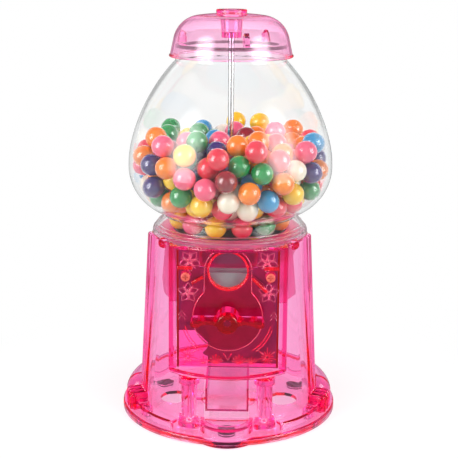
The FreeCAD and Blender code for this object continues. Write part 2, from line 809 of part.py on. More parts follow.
def base_plate():
    body = new_body("base_plate")
    hole = "(plug_radius + fit_gap)"
    pad(body, [("0", "0", PLATE_RADIUS), ("0", "0", hole)], "foot_lift", "plate_thickness")
    notch = "(plug_tab_half_width + fit_gap)"
    reach = "(plug_radius + plug_tab_reach + fit_gap)"
    inner = "(plug_radius - plug_tab_half_width)"
    slots = [
        [(notch, f"{side} * {inner}"), (notch, f"{side} * {reach}"), (f"-{notch}", f"{side} * {reach}"),
         (f"-{notch}", f"{side} * {inner}")]
        for side in (-1, 1)
    ]
    pocket(body, slots, PLATE_TOP, "plate_thickness")
    vents = [(f"{side} * vent_offset", "0", "vent_radius") for side in (-1, 1)]
    pocket(body, vents, PLATE_TOP, "plate_thickness")
    feet = [(*around("foot_circle", turn), "foot_radius + fit_gap") for turn in FOOT_TURNS]
    pocket(body, feet, "foot_lift + foot_recess", "foot_recess")
    hole, head = "screw_shank_radius + screw_gap", "screw_head_radius + screw_gap"
    holes = [(*around("base_screw_circle", turn), hole) for turn in BASE_SCREW_TURNS]
    pocket(body, holes, PLATE_TOP, "plate_thickness")
    heads = [(*around("base_screw_circle", turn), head) for turn in BASE_SCREW_TURNS]
    pocket(body, heads, "foot_lift + plate_thickness / 2", "plate_thickness / 2")
    return body


def rubber_feet():
    body_list = []
    for turn in FOOT_TURNS:
        x, y = size(f"foot_circle * cos({turn})"), size(f"foot_circle * sin({turn})")
        pad_shape = Part.makeCylinder(size("foot_radius"), size("foot_lift + foot_recess"), Vector(x, y, 0))
        body_list.append(pad_shape.makeFillet(size("foot_lift") / 3, [pad_shape.Edges[2]]))
    return group("rubber_feet", body_list)


def screw_shape(head_radius, head_height, shank_radius, length):
    """A pan-head screw along +Z, its head's underside at z = 0 and a cross cut in its head."""
    head = Part.makeCylinder(head_radius, head_height, Vector(0, 0, -head_height))
    lower = [edge for edge in head.Edges if edge.CenterOfMass.z < -head_height * NEAR_END]
    head = head.makeFillet(head_height * HEAD_ROUND, lower)
    solid = head.fuse(Part.makeCylinder(shank_radius, length))
    arm, deep = head_radius * CROSS_ARM, head_height * CROSS_DEPTH
    for turn in (0, 90):
        wide = arm * CROSS_WIDTH
        slot = Part.makeBox(2 * arm, wide, 2 * deep, Vector(-arm, -wide / 2, -head_height - deep))
        slot.rotate(Vector(0, 0, 0), Vector(0, 0, 1), turn)
        solid = solid.cut(slot)
    return solid.removeSplitter()


def base_screws():
    shapes = []
    head_height = size("plate_thickness / 2 - screw_gap")
    for turn in BASE_SCREW_TURNS:
        shape = screw_shape(
            size("screw_head_radius"),
            head_height,
            size("screw_shank_radius"),
            size("screw_length - plate_thickness"),
        )
        x, y = size(f"base_screw_circle * cos({turn})"), size(f"base_screw_circle * sin({turn})")
        shape.translate(Vector(x, y, size("foot_lift + plate_thickness / 2")))
        shapes.append(shape)
    return group("base_screws", shapes)


def coin_plug():
    """A twist plug: a disc flush with the base plate, with a grip bar below and two tabs above the plate."""
    body = new_body("coin_plug")
    pad(body, [("0", "0", "plug_radius")], "foot_lift", "plate_thickness + fit_gap")
    reach, half = "(plug_radius + plug_tab_reach)", "plug_tab_half_width"
    bar = [(reach, f"-{half}"), (reach, half), (f"-{reach}", half), (f"-{reach}", f"-{half}")]
    pad(body, [bar], f"{PLATE_TOP} + fit_gap", "plug_tab_height")
    grip, slim = "(plug_radius - plug_tab_half_width)", "plug_grip_half_width"
    handle_bar = [(grip, f"-{slim}"), (grip, slim), (f"-{grip}", slim), (f"-{grip}", f"-{slim}")]
    pad(body, [handle_bar], "foot_lift - plug_grip_height", "plug_grip_height")
    return body


# Faceplate

def faceplate():
    """The front plate with its raised keyhole pad, coin window, shaft bearing and screw holes."""
    body = facing_front(new_body("faceplate"))
    half, low = f"({NICHE_HALF_WIDTH} - fit_gap)", "(ledge_top + fit_gap)"
    outline = [(half, low), (half, FACE_TOP), (f"-{half}", FACE_TOP), (f"-{half}", low)]
    pad(body, [outline], FACE_BACK, "face_thickness")
    waist = "(handle_height + sqrt(pad_radius^2 - pad_neck^2))"
    across = f"sqrt(pad_neck^2 - ({FACE_TOP} - window_height)^2)"
    keyhole = [
        ("pad_neck", "window_height"),
        (across, FACE_TOP, "pad_neck", 1),
        (f"-{across}", FACE_TOP),
        ("-pad_neck", "window_height", "pad_neck", 1),
        ("-pad_neck", waist),
        ("0", "handle_height - pad_radius", "pad_radius", 1),
        ("pad_neck", waist, "pad_radius", 1),
    ]
    pad(body, [keyhole], FACE_FRONT, "pad_height")
    bore = ("0", "handle_height", "shaft_radius + running_gap")
    pocket(body, [("0", "window_height", "window_radius"), bore], PAD_FRONT, "face_thickness + pad_height")
    hole = "screw_shank_radius + screw_gap"
    screws = [(f"{side} * face_screw_offset", FACE_SCREW_Z, hole) for side in (-1, 1)]
    pocket(body, screws, FACE_FRONT, "face_thickness")
    return body


def faceplate_screws():
    shapes = []
    for side in (-1, 1):
        shape = screw_shape(
            size("screw_head_radius"),
            size("screw_head_height"),
            size("screw_shank_radius"),
            size("screw_length + face_thickness"),
        )
        shape.rotate(Vector(0, 0, 0), Vector(1, 0, 0), -90)
        shape.translate(Vector(side * size("face_screw_offset"), -size(FACE_FRONT), size(FACE_SCREW_Z)))
        shapes.append(shape)
    return group("faceplate_screws", shapes)


# Handle, shaft and coin wheel

def handle():
    """A wing handle: a tapered hub with a rounded bar across its front, scooped out below beside the hub."""
    body = facing_front(new_body("handle"), "handle_height")
    front = f"({HUB_BACK} + hub_length)"
    revolve_profile = [
        ("0", HUB_BACK),
        ("hub_base_radius", HUB_BACK),
        ("hub_front_radius", f"{front} - top_round"),
        ("hub_front_radius - top_round", front, "top_round", 1),
        ("0", front),
    ]
    revolve(body, revolve_profile)
    half, thick = "(wing_half_length - wing_half_thickness)", "wing_half_thickness"
    bar = [
        (half, f"-{thick}"),
        ("wing_half_length", "0", thick, 1),
        (half, thick, thick, 1),
        (f"-{half}", thick),
        ("-wing_half_length", "0", thick, 1),
        (f"-{half}", f"-{thick}", thick, 1),
        ("-scoop_outer", f"-{thick}"),
        ("-scoop_inner", f"-{thick}", "scoop_radius", -1),
        ("scoop_inner", f"-{thick}"),
        ("scoop_outer", f"-{thick}", "scoop_radius", -1),
    ]
    pad(body, [bar], f"{front} - wing_depth", "wing_depth - fit_gap")
    pocket(body, [("0", "0", "shaft_radius + socket_gap")], f"{HUB_BACK} + shaft_socket", "shaft_socket")
    return body


def drive_shaft():
    body = facing_front(new_body("drive_shaft"), "handle_height")
    front = f"({HUB_BACK} + shaft_socket - fit_gap)"
    chamfer = "(shaft_radius / 5)"
    revolve(
        body,
        [
            ("0", SHAFT_BACK),
            (f"shaft_radius - {chamfer}", SHAFT_BACK),
            ("shaft_radius", f"{SHAFT_BACK} + {chamfer}"),
            ("shaft_radius", f"{front} - {chamfer}"),
            (f"shaft_radius - {chamfer}", front),
            ("0", front),
        ],
    )
    return body


def coin_wheel():
    """A thin disc on the shaft, with a flat that is level in the window at rest and a coin notch."""
    body = facing_front(new_body("coin_wheel"), "handle_height")
    bore = ("0", "0", "shaft_radius + socket_gap")
    pad(body, [("0", "0", "coin_wheel_radius"), bore], COIN_WHEEL_BACK, "coin_wheel_thickness")
    side, top = "coin_wheel_radius", "(coin_wheel_radius + wheel_gap)"
    segment = [(side, "coin_wheel_flat"), (side, top), (f"-{side}", top), (f"-{side}", "coin_wheel_flat")]
    notch = (*around("coin_notch_circle", "coin_notch_turn"), "coin_notch_radius")
    pocket(body, [segment, notch], COIN_WHEEL_FRONT, "coin_wheel_thickness")
    return body


def coin_housing():
    """The plate behind the coin wheel, hung on the hopper's two screw bosses, with a corner left open for coins."""
    body = facing_front(new_body("coin_housing"))
    half, low = f"({NICHE_HALF_WIDTH} - fit_gap)", "(ledge_top + housing_lift)"
    bowl_side = f"(sqrt(max(0; bowl_radius^2 - {HOUSING_BACK}^2)) + wheel_gap)"
    under_bowl = "(bowl_floor - wheel_gap)"
    outline = [
        (half, low),
        (half, FACE_TOP),
        (bowl_side, FACE_TOP),
        (bowl_side, under_bowl),
        (f"-{bowl_side}", under_bowl),
        (f"-{bowl_side}", FACE_TOP),
        (f"-{half}", FACE_TOP),
        (f"-{half}", "drop_top"),
        ("-drop_side - drop_slope", "drop_top"),
        ("-drop_side", "drop_top - drop_slope"),
        ("-drop_side", low),
    ]
    holes = [("0", "handle_height", "sleeve_radius + wheel_gap")]
    for side in (-1, 1):
        holes.append((f"{side} * face_screw_offset", FACE_SCREW_Z, "screw_head_radius + fit_gap + screw_gap"))
    pad(body, [outline], HOUSING_BACK, "housing_thickness")
    pocket(body, holes, HOUSING_FRONT, "housing_thickness")
    return body


def drive_gear():
    """The shaft's gear: tapered teeth that reach between the crown gear's pins, on a long sleeve."""
    body = facing_front(new_body("drive_gear"), "handle_height")
    middle = CROWN_PITCH
    back, front = f"({middle} - drive_face / 2)", f"({middle} + drive_face / 2)"
    bore = "(shaft_radius + socket_gap)"
    root = f"({DRIVE_PITCH} - drive_dedendum)"
    sleeve_front, sleeve_back = f"({COIN_WHEEL_BACK} - fit_gap)", f"({LUG_FRONT} + fit_gap)"
    revolve(
        body,
        [
            (bore, sleeve_back),
            ("sleeve_radius", sleeve_back),
            ("sleeve_radius", back),
            (root, back),
            (root, front),
            ("sleeve_radius", front),
            ("sleeve_radius", sleeve_front),
            (bore, sleeve_front),
        ],
    )
    inner, tip = f"({root} - tooth_root_width / 2)", f"({DRIVE_PITCH} + drive_addendum)"
    turn = "(180 / drive_teeth)"
    wide, slim = "(tooth_root_width / 2)", "(tooth_tip_width / 2)"
    corners = [(inner, f"-{wide}"), (tip, f"-{slim}"), (tip, slim), (inner, wide)]
    tooth = [
        (f"{out} * sin({turn}) + ({across}) * cos({turn})", f"{out} * cos({turn}) - ({across}) * sin({turn})")
        for out, across in corners
    ]
    feature = pad(body, [tooth[::-1]], back, "drive_face")
    polar(body, [feature], "drive_teeth")
    return body


def shaft_clip():
    body = facing_front(new_body("shaft_clip"), "handle_height")
    bore = ("0", "0", "shaft_radius + socket_gap")
    pad(body, [("0", "0", "clip_radius"), bore], "lug_back - clip_thickness - fit_gap", "clip_thickness")
    return body


# Hopper, wheel and rod

def hopper():
    """The bowl that the wheel turns in, with its exit hole, flange, hanging side walls and screw posts."""
    bowl = new_body("hopper_bowl")
    hub_hole = "(crown_hub_radius + wheel_gap)"
    flange_top = "(body_top + hopper_flange_thickness)"
    revolve(
        bowl,
        [
            (hub_hole, "bowl_floor"),
            ("bowl_radius", "bowl_floor"),
            ("bowl_radius", "body_top"),
            ("hopper_flange", "body_top"),
            ("hopper_flange", flange_top),
            (BOWL_INNER, flange_top),
            (BOWL_INNER, FLOOR_TOP),
            (hub_hole, FLOOR_TOP),
        ],
    )
    pocket(bowl, [("0", "exit_circle", "exit_radius")], FLOOR_TOP, "bowl_wall")
    tube = new_body("hopper_wall")
    wing_top = "(body_top + hopper_flange_thickness / 2)"
    ring = [("0", "0", "wing_radius"), ("0", "0", "wing_radius - bowl_wall")]
    pad(tube, ring, "wing_bottom", f"{wing_top} - wing_bottom")
    window = new_body("wing_outline")
    low_round = "(wing_bottom + wing_corner)"
    outline = [
        ("wing_back", wing_top),
        (f"-{WING_FRONT}", wing_top),
        (f"-{WING_FRONT}", low_round),
        (f"wing_corner - {WING_FRONT}", "wing_bottom", "wing_corner", 1),
        ("wing_back - wing_corner", "wing_bottom"),
        ("wing_back", low_round, "wing_corner", 1),
    ]
    pad(window, [outline], "0", "wing_radius * 2 + bowl_wall", role="YZ_Plane", symmetric=True)
    wings = common("hopper_wings", [tube, window])
    posts, bosses, holes = [], [], []
    for side, tag in ((-1, "left"), (1, "right")):
        x = f"{side} * post_circle"
        long, hole = f"bowl_floor - {BRACKET_TOP}", "screw_shank_radius + screw_gap"
        posts.append(cylinder(f"bracket_post_{tag}", "post_radius", long, x, "0", BRACKET_TOP))
        holes.append(cylinder(f"post_hole_{tag}", hole, "screw_length + fit_gap", x, "0", BRACKET_TOP))
        x = f"{side} * face_screw_offset"
        wall = "(sqrt((wing_radius - bowl_wall / 2)^2 - face_screw_offset^2) - bowl_wall)"
        front = f"({FACE_BACK} - fit_gap)"
        bosses.append(
            forward_cylinder(f"face_boss_{tag}", "screw_head_radius + fit_gap", wall, front, x, FACE_SCREW_Z)
        )
        holes.append(
            forward_cylinder(
                f"face_boss_hole_{tag}",
                "screw_shank_radius + screw_gap",
                f"{front} - screw_length - fit_gap",
                f"{front} + fit_gap",
                x,
                FACE_SCREW_Z,
            )
        )
    whole = fuse("hopper_whole", [bowl, wings] + posts + bosses)
    return labelled(cut("hopper", whole, holes), "hopper")


def gumball_wheel():
    """The pocketed wheel with a low cone that turns the balls outwards."""
    body = new_body("gumball_wheel")
    bore = "(rod_radius + running_gap)"
    revolve(
        body,
        [
            (bore, WHEEL_BOTTOM),
            (WHEEL_RADIUS, WHEEL_BOTTOM),
            (WHEEL_RADIUS, f"{WHEEL_TOP} - top_round"),
            (f"{WHEEL_RADIUS} - top_round", WHEEL_TOP, "top_round", 1),
            ("cone_radius", WHEEL_TOP),
            ("cone_top_radius", f"{WHEEL_TOP} + cone_height"),
            (bore, f"{WHEEL_TOP} + cone_height"),
        ],
    )
    feature = pocket(body, [("pocket_circle", "0", "pocket_radius")], WHEEL_TOP, "wheel_height")
    polar(body, [feature], "pocket_count")
    return body


def crown_gear():
    """A disc with a ring of pins below it, on a hub that passes up through the hopper floor to the wheel."""
    body = new_body("crown_gear")
    bore = "(rod_radius + running_gap)"
    top = f"({CROWN_BOTTOM} + crown_thickness)"
    revolve(
        body,
        [
            (bore, CROWN_BOTTOM),
            (CROWN_RADIUS, CROWN_BOTTOM),
            (CROWN_RADIUS, top),
            ("crown_hub_radius", top),
            ("crown_hub_radius", WHEEL_BOTTOM),
            (bore, WHEEL_BOTTOM),
        ],
    )
    low = f"({MESH_HEIGHT} - pin_reach)"
    feature = pad(body, [("0", f"-{CROWN_PITCH}", "pin_radius")], low, f"{CROWN_BOTTOM} - {low}")
    polar(body, [feature], "crown_teeth")
    return body


def wheel_guard():
    """A curved cover over the exit, carried by a foot on the hopper's flange."""
    cover = new_body("guard_cover")
    low = f"({WHEEL_TOP} + guard_lift)"
    outer = "(hopper_flange - fit_gap)"
    high = f"({low} + guard_thickness)"
    flange_top = "(body_top + hopper_flange_thickness)"
    foot = "(guard_outer + guard_thickness)"
    revolve(
        cover,
        [
            ("guard_inner", low),
            (foot, low),
            (foot, flange_top),
            (outer, flange_top),
            (outer, f"{flange_top} + guard_thickness"),
            (f"{foot} + guard_thickness", f"{flange_top} + guard_thickness"),
            (f"{foot} + guard_thickness", high),
            ("guard_inner", high),
        ],
        "guard_turn",
    )
    cover.Placement = Placement(Vector(0, 0, 0), Rotation(Vector(0, 0, 1), 0))
    bind(cover, Placement__Rotation__Angle="90 - guard_turn / 2")
    return labelled(cover, "wheel_guard")


def gear_bracket():
    """A flat bridge under the crown gear that holds the rod's end, with a lug for the shaft's back end."""
    plate = new_body("bracket_plate")
    long, wide, lug = "bracket_half_length", "bracket_half_width", "lug_half_width"
    outline = [
        (long, f"-{wide}"),
        (long, wide),
        (f"-{long}", wide),
        (f"-{long}", f"-{wide}"),
        (f"-{lug}", f"-{wide}"),
        (f"-{lug}", f"-{LUG_FRONT}"),
        (lug, f"-{LUG_FRONT}"),
        (lug, f"-{wide}"),
    ]
    pad(plate, [outline], BRACKET_BOTTOM, "bracket_thickness")
    pocket(plate, [("0", "0", "rod_radius + running_gap")], BRACKET_TOP, "bracket_thickness")
    screws = [(f"{side} * post_circle", "0", "screw_shank_radius + screw_gap") for side in (-1, 1)]
    pocket(plate, screws, BRACKET_TOP, "bracket_thickness")
    ear = box(
        "bearing_lug",
        ("-lug_half_width", f"-{LUG_FRONT}", "handle_height - lug_below"),
        ("lug_half_width", "-lug_back", BRACKET_BOTTOM),
    )
    bearing = forward_cylinder(
        "lug_bore",
        "shaft_radius + running_gap",
        "lug_back - fit_gap",
        f"{LUG_FRONT} + fit_gap",
        "0",
        "handle_height",
    )
    return labelled(cut("gear_bracket", fuse("bracket_whole", [plate, ear]), [bearing]), "gear_bracket")


def bracket_screws():
    shapes = []
    for side in (-1, 1):
        shape = screw_shape(
            size("screw_head_radius"),
            size("screw_head_height"),
            size("screw_shank_radius"),
            size("bracket_thickness + screw_length"),
        )
        shape.translate(Vector(side * size("post_circle"), 0, size(BRACKET_BOTTOM)))
        shapes.append(shape)
    return group("bracket_screws", shapes)


ROD_BOTTOM = f"({BRACKET_BOTTOM} - washer_height - nut_height - rod_tail)"


# The lid's outside: a leaning wall past the neck, a round corner tangent to it and a crown tangent to that
LID_NECK_R = "(neck_radius + lid_gap + lid_wall / cos(lid_lean))"
LID_RIM_Z = "(neck_top - lid_drop)"
LID_RIM_R = f"({LID_NECK_R} + lid_drop * tan(lid_lean))"
LID_WALL_R = f"({LID_NECK_R} - lid_wall_rise * tan(lid_lean))"
LID_WALL_Z = "(neck_top + lid_wall_rise)"
LID_AXIS_R = f"({LID_WALL_R} - lid_corner_radius * cos(lid_lean))"
LID_AXIS_Z = f"({LID_WALL_Z} - lid_corner_radius * sin(lid_lean))"
LID_CROWN_END = f"({LID_AXIS_R} + lid_corner_radius * sin(lid_crown_turn))"
LID_CROWN_R = f"({LID_CROWN_END} / sin(lid_crown_turn))"
LID_CROWN_Z = f"({LID_AXIS_Z} + (lid_corner_radius - {LID_CROWN_R}) * cos(lid_crown_turn))"
LID_TOP = f"({LID_CROWN_Z} + sqrt({LID_CROWN_R}^2 - lid_hole_radius^2))"
KNOB_SEAT = f"({LID_TOP} + fit_gap)"
KNOB_BOTTOM = f"({KNOB_SEAT} - knob_cup_depth)"
BUSH_TOP = f"({KNOB_BOTTOM} + bush_height)"


def center_rod():
    body = new_body("center_rod")
    top = f"({BUSH_TOP} - fit_gap)"
    chamfer = "(rod_radius / 4)"
    revolve(
        body,
        [
            ("0", ROD_BOTTOM),
            (f"rod_radius - {chamfer}", ROD_BOTTOM),
            ("rod_radius", f"{ROD_BOTTOM} + {chamfer}"),
            ("rod_radius", f"{top} - {chamfer}"),
            (f"rod_radius - {chamfer}", top),
            ("0", top),
        ],
    )
    return body


def rod_washer():
    body = new_body("rod_washer")
    bore = ("0", "0", "rod_radius + running_gap")
    pad(body, [("0", "0", "washer_radius"), bore], f"{BRACKET_BOTTOM} - washer_height", "washer_height")
    return body


def rod_nut():
    body = new_body("rod_nut")
    corner = "(nut_flats / sqrt(3))"
    turns = (30, 90, 150, 210, 270, 330)
    hexagon = [(f"{corner} * cos({turn})", f"{corner} * sin({turn})") for turn in turns]
    bore = ("0", "0", "rod_radius + running_gap")
    pad(body, [hexagon, bore], f"{BRACKET_BOTTOM} - washer_height - nut_height", "nut_height")
    return body


# Chute

def chute():
    """A drop duct under the exit that bends into an open channel sloping to the delivery tray."""
    body = new_body("chute")
    top = "(bowl_floor - fit_gap)"
    back, front = "(exit_circle + exit_radius + chute_wall)", "(exit_circle - exit_radius - chute_wall)"
    run = "tan(chute_slope)"
    low = "(tray_floor + chute_lip_gap)"
    bend_y = f"({back} - chute_bend_radius)"
    bend_z = f"({low} + (chute_front + {bend_y}) * {run})"
    side_front = f"({low} + chute_side)"
    side_back = f"({low} + chute_side + (chute_front + {front}) * {run})"
    rise = f"({bend_z} + chute_bend_radius * bend_rise)"
    outer = [
        (f"-chute_front", low),
        (bend_y, bend_z),
        (back, rise, "chute_bend_radius * bend_slack", 1),
        (back, top),
        (front, top),
        (front, side_back),
        (f"-chute_front", side_front),
    ]
    half = "chute_half_width"
    pad(body, [outer], "0", f"{half} * 2", role="YZ_Plane", symmetric=True)
    wall = "chute_wall"
    inner = [
        (f"-chute_front - {wall}", f"{low} + {wall} - {wall} * {run}"),
        (bend_y, f"{bend_z} + {wall}"),
        (f"{back} - {wall}", rise, "chute_bend_radius * bend_slack", 1),
        (f"{back} - {wall}", f"{top} + {wall}"),
        (f"{front} + {wall}", f"{top} + {wall}"),
        (f"{front} + {wall}", f"{side_back} + chute_side"),
        (f"{front} - {wall}", f"{side_back} + chute_side"),
        (f"{front} - {wall}", f"{side_back} + {wall}"),
        (f"-chute_front - {wall}", f"{side_front} + {wall} * 3"),
    ]
    pocket(body, [inner], "0", f"({half} - {wall}) * 2", role="YZ_Plane", symmetric=True)
    return body


# Globe, lid and knob

def globe_height(radius, inset):
    """Height on the shoulder's round at a radius, with the wall taken off for the inside."""
    return f"({SHOULDER_AXIS_Z} + sqrt((shoulder_radius - {inset})^2 - ({radius} - {SHOULDER_AXIS_R})^2))"


def under_height(radius, inset):
    return f"(belly_height - sqrt((under_radius - {inset})^2 - ({radius} - {UNDER_AXIS})^2))"


def globe():
    """The clear bowl: flared foot, pinched waist, round belly and a straight neck with an inward lip."""
    body = new_body("globe")
    wall = "globe_wall"
    rim = "(body_top + flare_rim)"
    meet_out = "(pinch_radius + pinch_round)"
    pinch_out = f"({under_height(meet_out, '0')} - pinch_round)"
    meet_in = "(pinch_radius - globe_wall + pinch_round)"
    pinch_in = f"({under_height(meet_in, wall)} - pinch_round)"
    neck_in = f"(neck_radius - {wall})"
    shoulder_in_r = f"({SHOULDER_START_R} - {wall} * cos(belly_turn))"
    shoulder_in_z = f"({SHOULDER_START_Z} - {wall} * sin(belly_turn))"
    outline = [
        ("flare_radius", "body_top"),
        ("flare_radius", rim),
        ("pinch_radius", pinch_out),
        (meet_out, f"{pinch_out} + pinch_round", "pinch_round", -1),
        ("globe_radius", "belly_height", "under_radius", 1),
        (SHOULDER_START_R, SHOULDER_START_Z, "belly_radius", 1),
        ("neck_radius", globe_height("neck_radius", "0"), "shoulder_radius", 1),
        ("neck_radius", f"neck_top - {wall} / 2"),
        (f"neck_radius - {wall} / 2", "neck_top", f"{wall} / 2", 1),
        ("neck_radius - neck_lip", "neck_top"),
        ("neck_radius - neck_lip", "neck_top - neck_lip_thickness"),
        (neck_in, "neck_top - neck_lip_thickness"),
        (neck_in, globe_height(neck_in, wall)),
        (shoulder_in_r, shoulder_in_z, f"shoulder_radius - {wall}", -1),
        (f"globe_radius - {wall}", "belly_height", f"belly_radius - {wall}", -1),
        (meet_in, f"{pinch_in} + pinch_round", f"under_radius - {wall}", -1),
        (f"pinch_radius - {wall}", pinch_in, "pinch_round", 1),
        (f"flare_radius - {wall}", rim),
        (f"flare_radius - {wall}", "body_top"),
    ]
    revolve(body, outline)
    return body


def lid_inside(out, up, turn):
    """A point of the lid's inside, the wall's thickness in from a point of its outside."""
    return f"({out} - lid_wall * {turn[0]})", f"({up} - lid_wall * {turn[1]})"


def lid():
    """The pink dome: beaded rim, leaning wall, round corner, low crown, knob hole and three locating ribs."""
    dome = new_body("lid_dome")
    lean = ("cos(lid_lean)", "sin(lid_lean)")
    crown = ("sin(lid_crown_turn)", "cos(lid_crown_turn)")
    crown_end_z = f"({LID_AXIS_Z} + lid_corner_radius * cos(lid_crown_turn))"
    crown_in = lid_inside(LID_CROWN_END, crown_end_z, crown)
    wall_in = lid_inside(LID_WALL_R, LID_WALL_Z, lean)
    hole_in = f"({LID_CROWN_Z} + sqrt(({LID_CROWN_R} - lid_wall)^2 - lid_hole_radius^2))"
    rim_in = f"({LID_RIM_R} - lid_wall / cos(lid_lean))"
    bead_r = f"({LID_RIM_R} - lid_bead * 2 * sin(lid_lean))"
    bead_z = f"({LID_RIM_Z} + lid_bead * 2 * cos(lid_lean))"
    revolve(
        dome,
        [
            (LID_RIM_R, LID_RIM_Z),
            (bead_r, bead_z, "lid_bead * top_slack", 1),
            (LID_WALL_R, LID_WALL_Z),
            (LID_CROWN_END, crown_end_z, "lid_corner_radius", 1),
            ("lid_hole_radius", LID_TOP, LID_CROWN_R, 1),
            ("lid_hole_radius", hole_in),
            (*crown_in, f"{LID_CROWN_R} - lid_wall", -1),
            (*wall_in, "lid_corner_radius - lid_wall", -1),
            (rim_in, LID_RIM_Z),
        ],
    )
    rib = new_body("lid_rib")
    seat = "(neck_top + fit_gap)"
    outer = f"({LID_WALL_R} - lid_wall / 2)"
    inner = "(neck_radius - neck_lip)"
    profile = [
        (inner, seat),
        (outer, seat),
        (outer, f"{seat} + lid_rib_slope"),
        (f"{inner} + lid_rib_inner", f"{seat} + lid_rib_height"),
        (inner, f"{seat} + lid_rib_height - lid_rib_slope"),
    ]
    pad(rib, [profile], "0", "lid_rib_thickness", role="XZ_Plane", symmetric=True)
    polar(rib, [rib.Tip], "3")
    bind(rib, Placement__Rotation__Angle="lid_rib_turn")
    return labelled(fuse("lid", [dome, rib]), "lid")


def lid_knob():
    """A flanged, tapered hollow cup that clamps the lid."""
    body = new_body("lid_knob")
    top = f"({KNOB_SEAT} + knob_flange_height)"
    low = f"({BUSH_TOP} + bush_gap)"
    lean = "((knob_cup_radius - knob_cup_bottom_radius) / knob_cup_depth)"
    foot = f"(knob_cup_bottom_radius + {lean} * (bush_height + bush_gap))"
    revolve(
        body,
        [
            (f"{foot} - knob_wall", low),
            (foot, low),
            ("knob_cup_radius", KNOB_SEAT),
            ("knob_flange_radius", KNOB_SEAT),
            ("knob_flange_radius", f"{top} - lid_bead"),
            ("knob_flange_radius - lid_bead", top, "lid_bead", 1),
            ("knob_cup_radius - knob_wall", top),
        ],
    )
    return body


def knob_bush():
    """The threaded bush in the knob's foot, which screws on to the rod's top."""
    body = new_body("knob_bush")
    lean = "((knob_cup_radius - knob_cup_bottom_radius) / knob_cup_depth)"
    revolve(
        body,
        [
            ("rod_radius + running_gap", KNOB_BOTTOM),
            ("knob_cup_bottom_radius", KNOB_BOTTOM),
            (f"knob_cup_bottom_radius + {lean} * bush_height", BUSH_TOP),
            ("rod_radius + running_gap", BUSH_TOP),
        ],
    )
    return body


# Gumballs

def ball_floor(x, y):
    """Lowest height of a ball's centre at a place, from the wheel, the guard, the waist and the bowl."""
    reach = size("ball_radius + ball_gap")
    rho = math.hypot(x, y)
    low = size(WHEEL_TOP) + reach
    guarded = abs(math.degrees(math.atan2(x, y))) < size("guard_turn") / 2 + GUARD_MARGIN
    if guarded and rho > size("guard_inner") - reach:
        low += size("guard_lift + guard_thickness")
    edge = size(f"pinch_radius - globe_wall")
    edge_top = size(under_height("(pinch_radius + pinch_round)", "globe_wall"))
    axis, radius = size(UNDER_AXIS), size("under_radius - globe_wall") - reach
    if edge - reach < rho:
        across = min(edge - rho, reach)
        low = max(low, edge_top + math.sqrt(max(reach**2 - across**2, 0)) if rho < edge else edge_top + reach)
    if rho > axis:
        inside = radius**2 - (rho - axis) ** 2
        if inside <= 0:
            return None
        low = max(low, size("belly_height") - math.sqrt(inside))
    return low


def ball_limit(height):
    """Greatest distance from the axis of a ball's centre at a height in the upper bowl."""
    reach = size("ball_radius + ball_gap + globe_wall")
    if height <= size("belly_height"):
        return size("globe_radius") - reach
    if height <= size(SHOULDER_START_Z):
        radius = size("belly_radius") - reach
        return size(BELLY_AXIS) + math.sqrt(radius**2 - (height - size("belly_height")) ** 2)
    radius = size("shoulder_radius") - reach
    return size(SHOULDER_AXIS_R) + math.sqrt(radius**2 - (height - size(SHOULDER_AXIS_Z)) ** 2)


def ball_ring():
    """The lowest balls, side by side on the wheel round the globe's waist, except over the guard."""
    reach = size("ball_radius + ball_gap")
    rho = size("pinch_radius - globe_wall") - reach
    low = size(WHEEL_TOP) + reach
    centres = []
    for number in range(RING_BALLS):
        turn = math.radians((number + 0.5) * 360 / RING_BALLS)
        centre = Vector(rho * math.sin(turn), -rho * math.cos(turn), low)
        if ball_floor(centre.x, centre.y) < low + reach / 2 and abs(math.degrees(turn) - 180) > GUARD_CLEAR:
            centres.append(centre)
    return centres


def close_over(heights, centre, apart):
    """Raise the free heights near a ball that has been laid."""
    for other in list(heights):
        away = math.hypot(other[0] - centre.x, other[1] - centre.y)
        if away < apart:
            heights[other] = max(heights[other], centre.z + math.sqrt(apart**2 - away**2))


def ball_centres():
    """Drop balls one by one into the lowest free places, with a little chance in the choice."""
    chance = random.Random(BALL_SEED)
    apart = size("2 * ball_radius + ball_gap")
    rod = size("rod_radius + ball_radius + ball_gap")
    cone = size("cone_radius + ball_radius / 2")
    cone_low = size(f"{WHEEL_TOP} + cone_height + ball_radius + ball_gap")
    top = size("fill_height")
    reach = size("globe_radius - globe_wall - ball_radius - ball_gap")
    steps = int(reach / DROP_GRID)
    heights = {}
    for column_x in range(-steps, steps + 1):
        for column_y in range(-steps, steps + 1):
            x, y = column_x * DROP_GRID, column_y * DROP_GRID
            rho = math.hypot(x, y)
            if rho < rod or rho > reach:
                continue
            low = ball_floor(x, y)
            if low is None:
                continue
            heights[(x, y)] = max(low, cone_low) if rho < cone else low
    centres = ball_ring()
    for centre in centres:
        close_over(heights, centre, apart)
    while heights:
        lowest = min(heights.values())
        if lowest > top:
            break
        near = [spot for spot, height in heights.items() if height < lowest + DROP_CHOICE]
        spot = chance.choice(near)
        height = heights[spot]
        if math.hypot(*spot) > ball_limit(height):
            del heights[spot]
            continue
        centres.append(Vector(spot[0], spot[1], height))
        close_over(heights, centres[-1], apart)
    return centres


def gumballs():
    chance = random.Random(BALL_SEED + 1)
    names = list(BALL_COLOURS)
    weights = list(BALL_COLOURS.values())
    piles = {name: [] for name in names}
    for number, centre in enumerate(ball_centres()):
        name = chance.choices(names, weights)[0]
        if number in RING_COLOURS:
            name = RING_COLOURS[number]
        piles[name].append(Part.makeSphere(size("ball_radius"), centre))
    return [group(f"gumballs_{name}", balls) for name, balls in piles.items()]


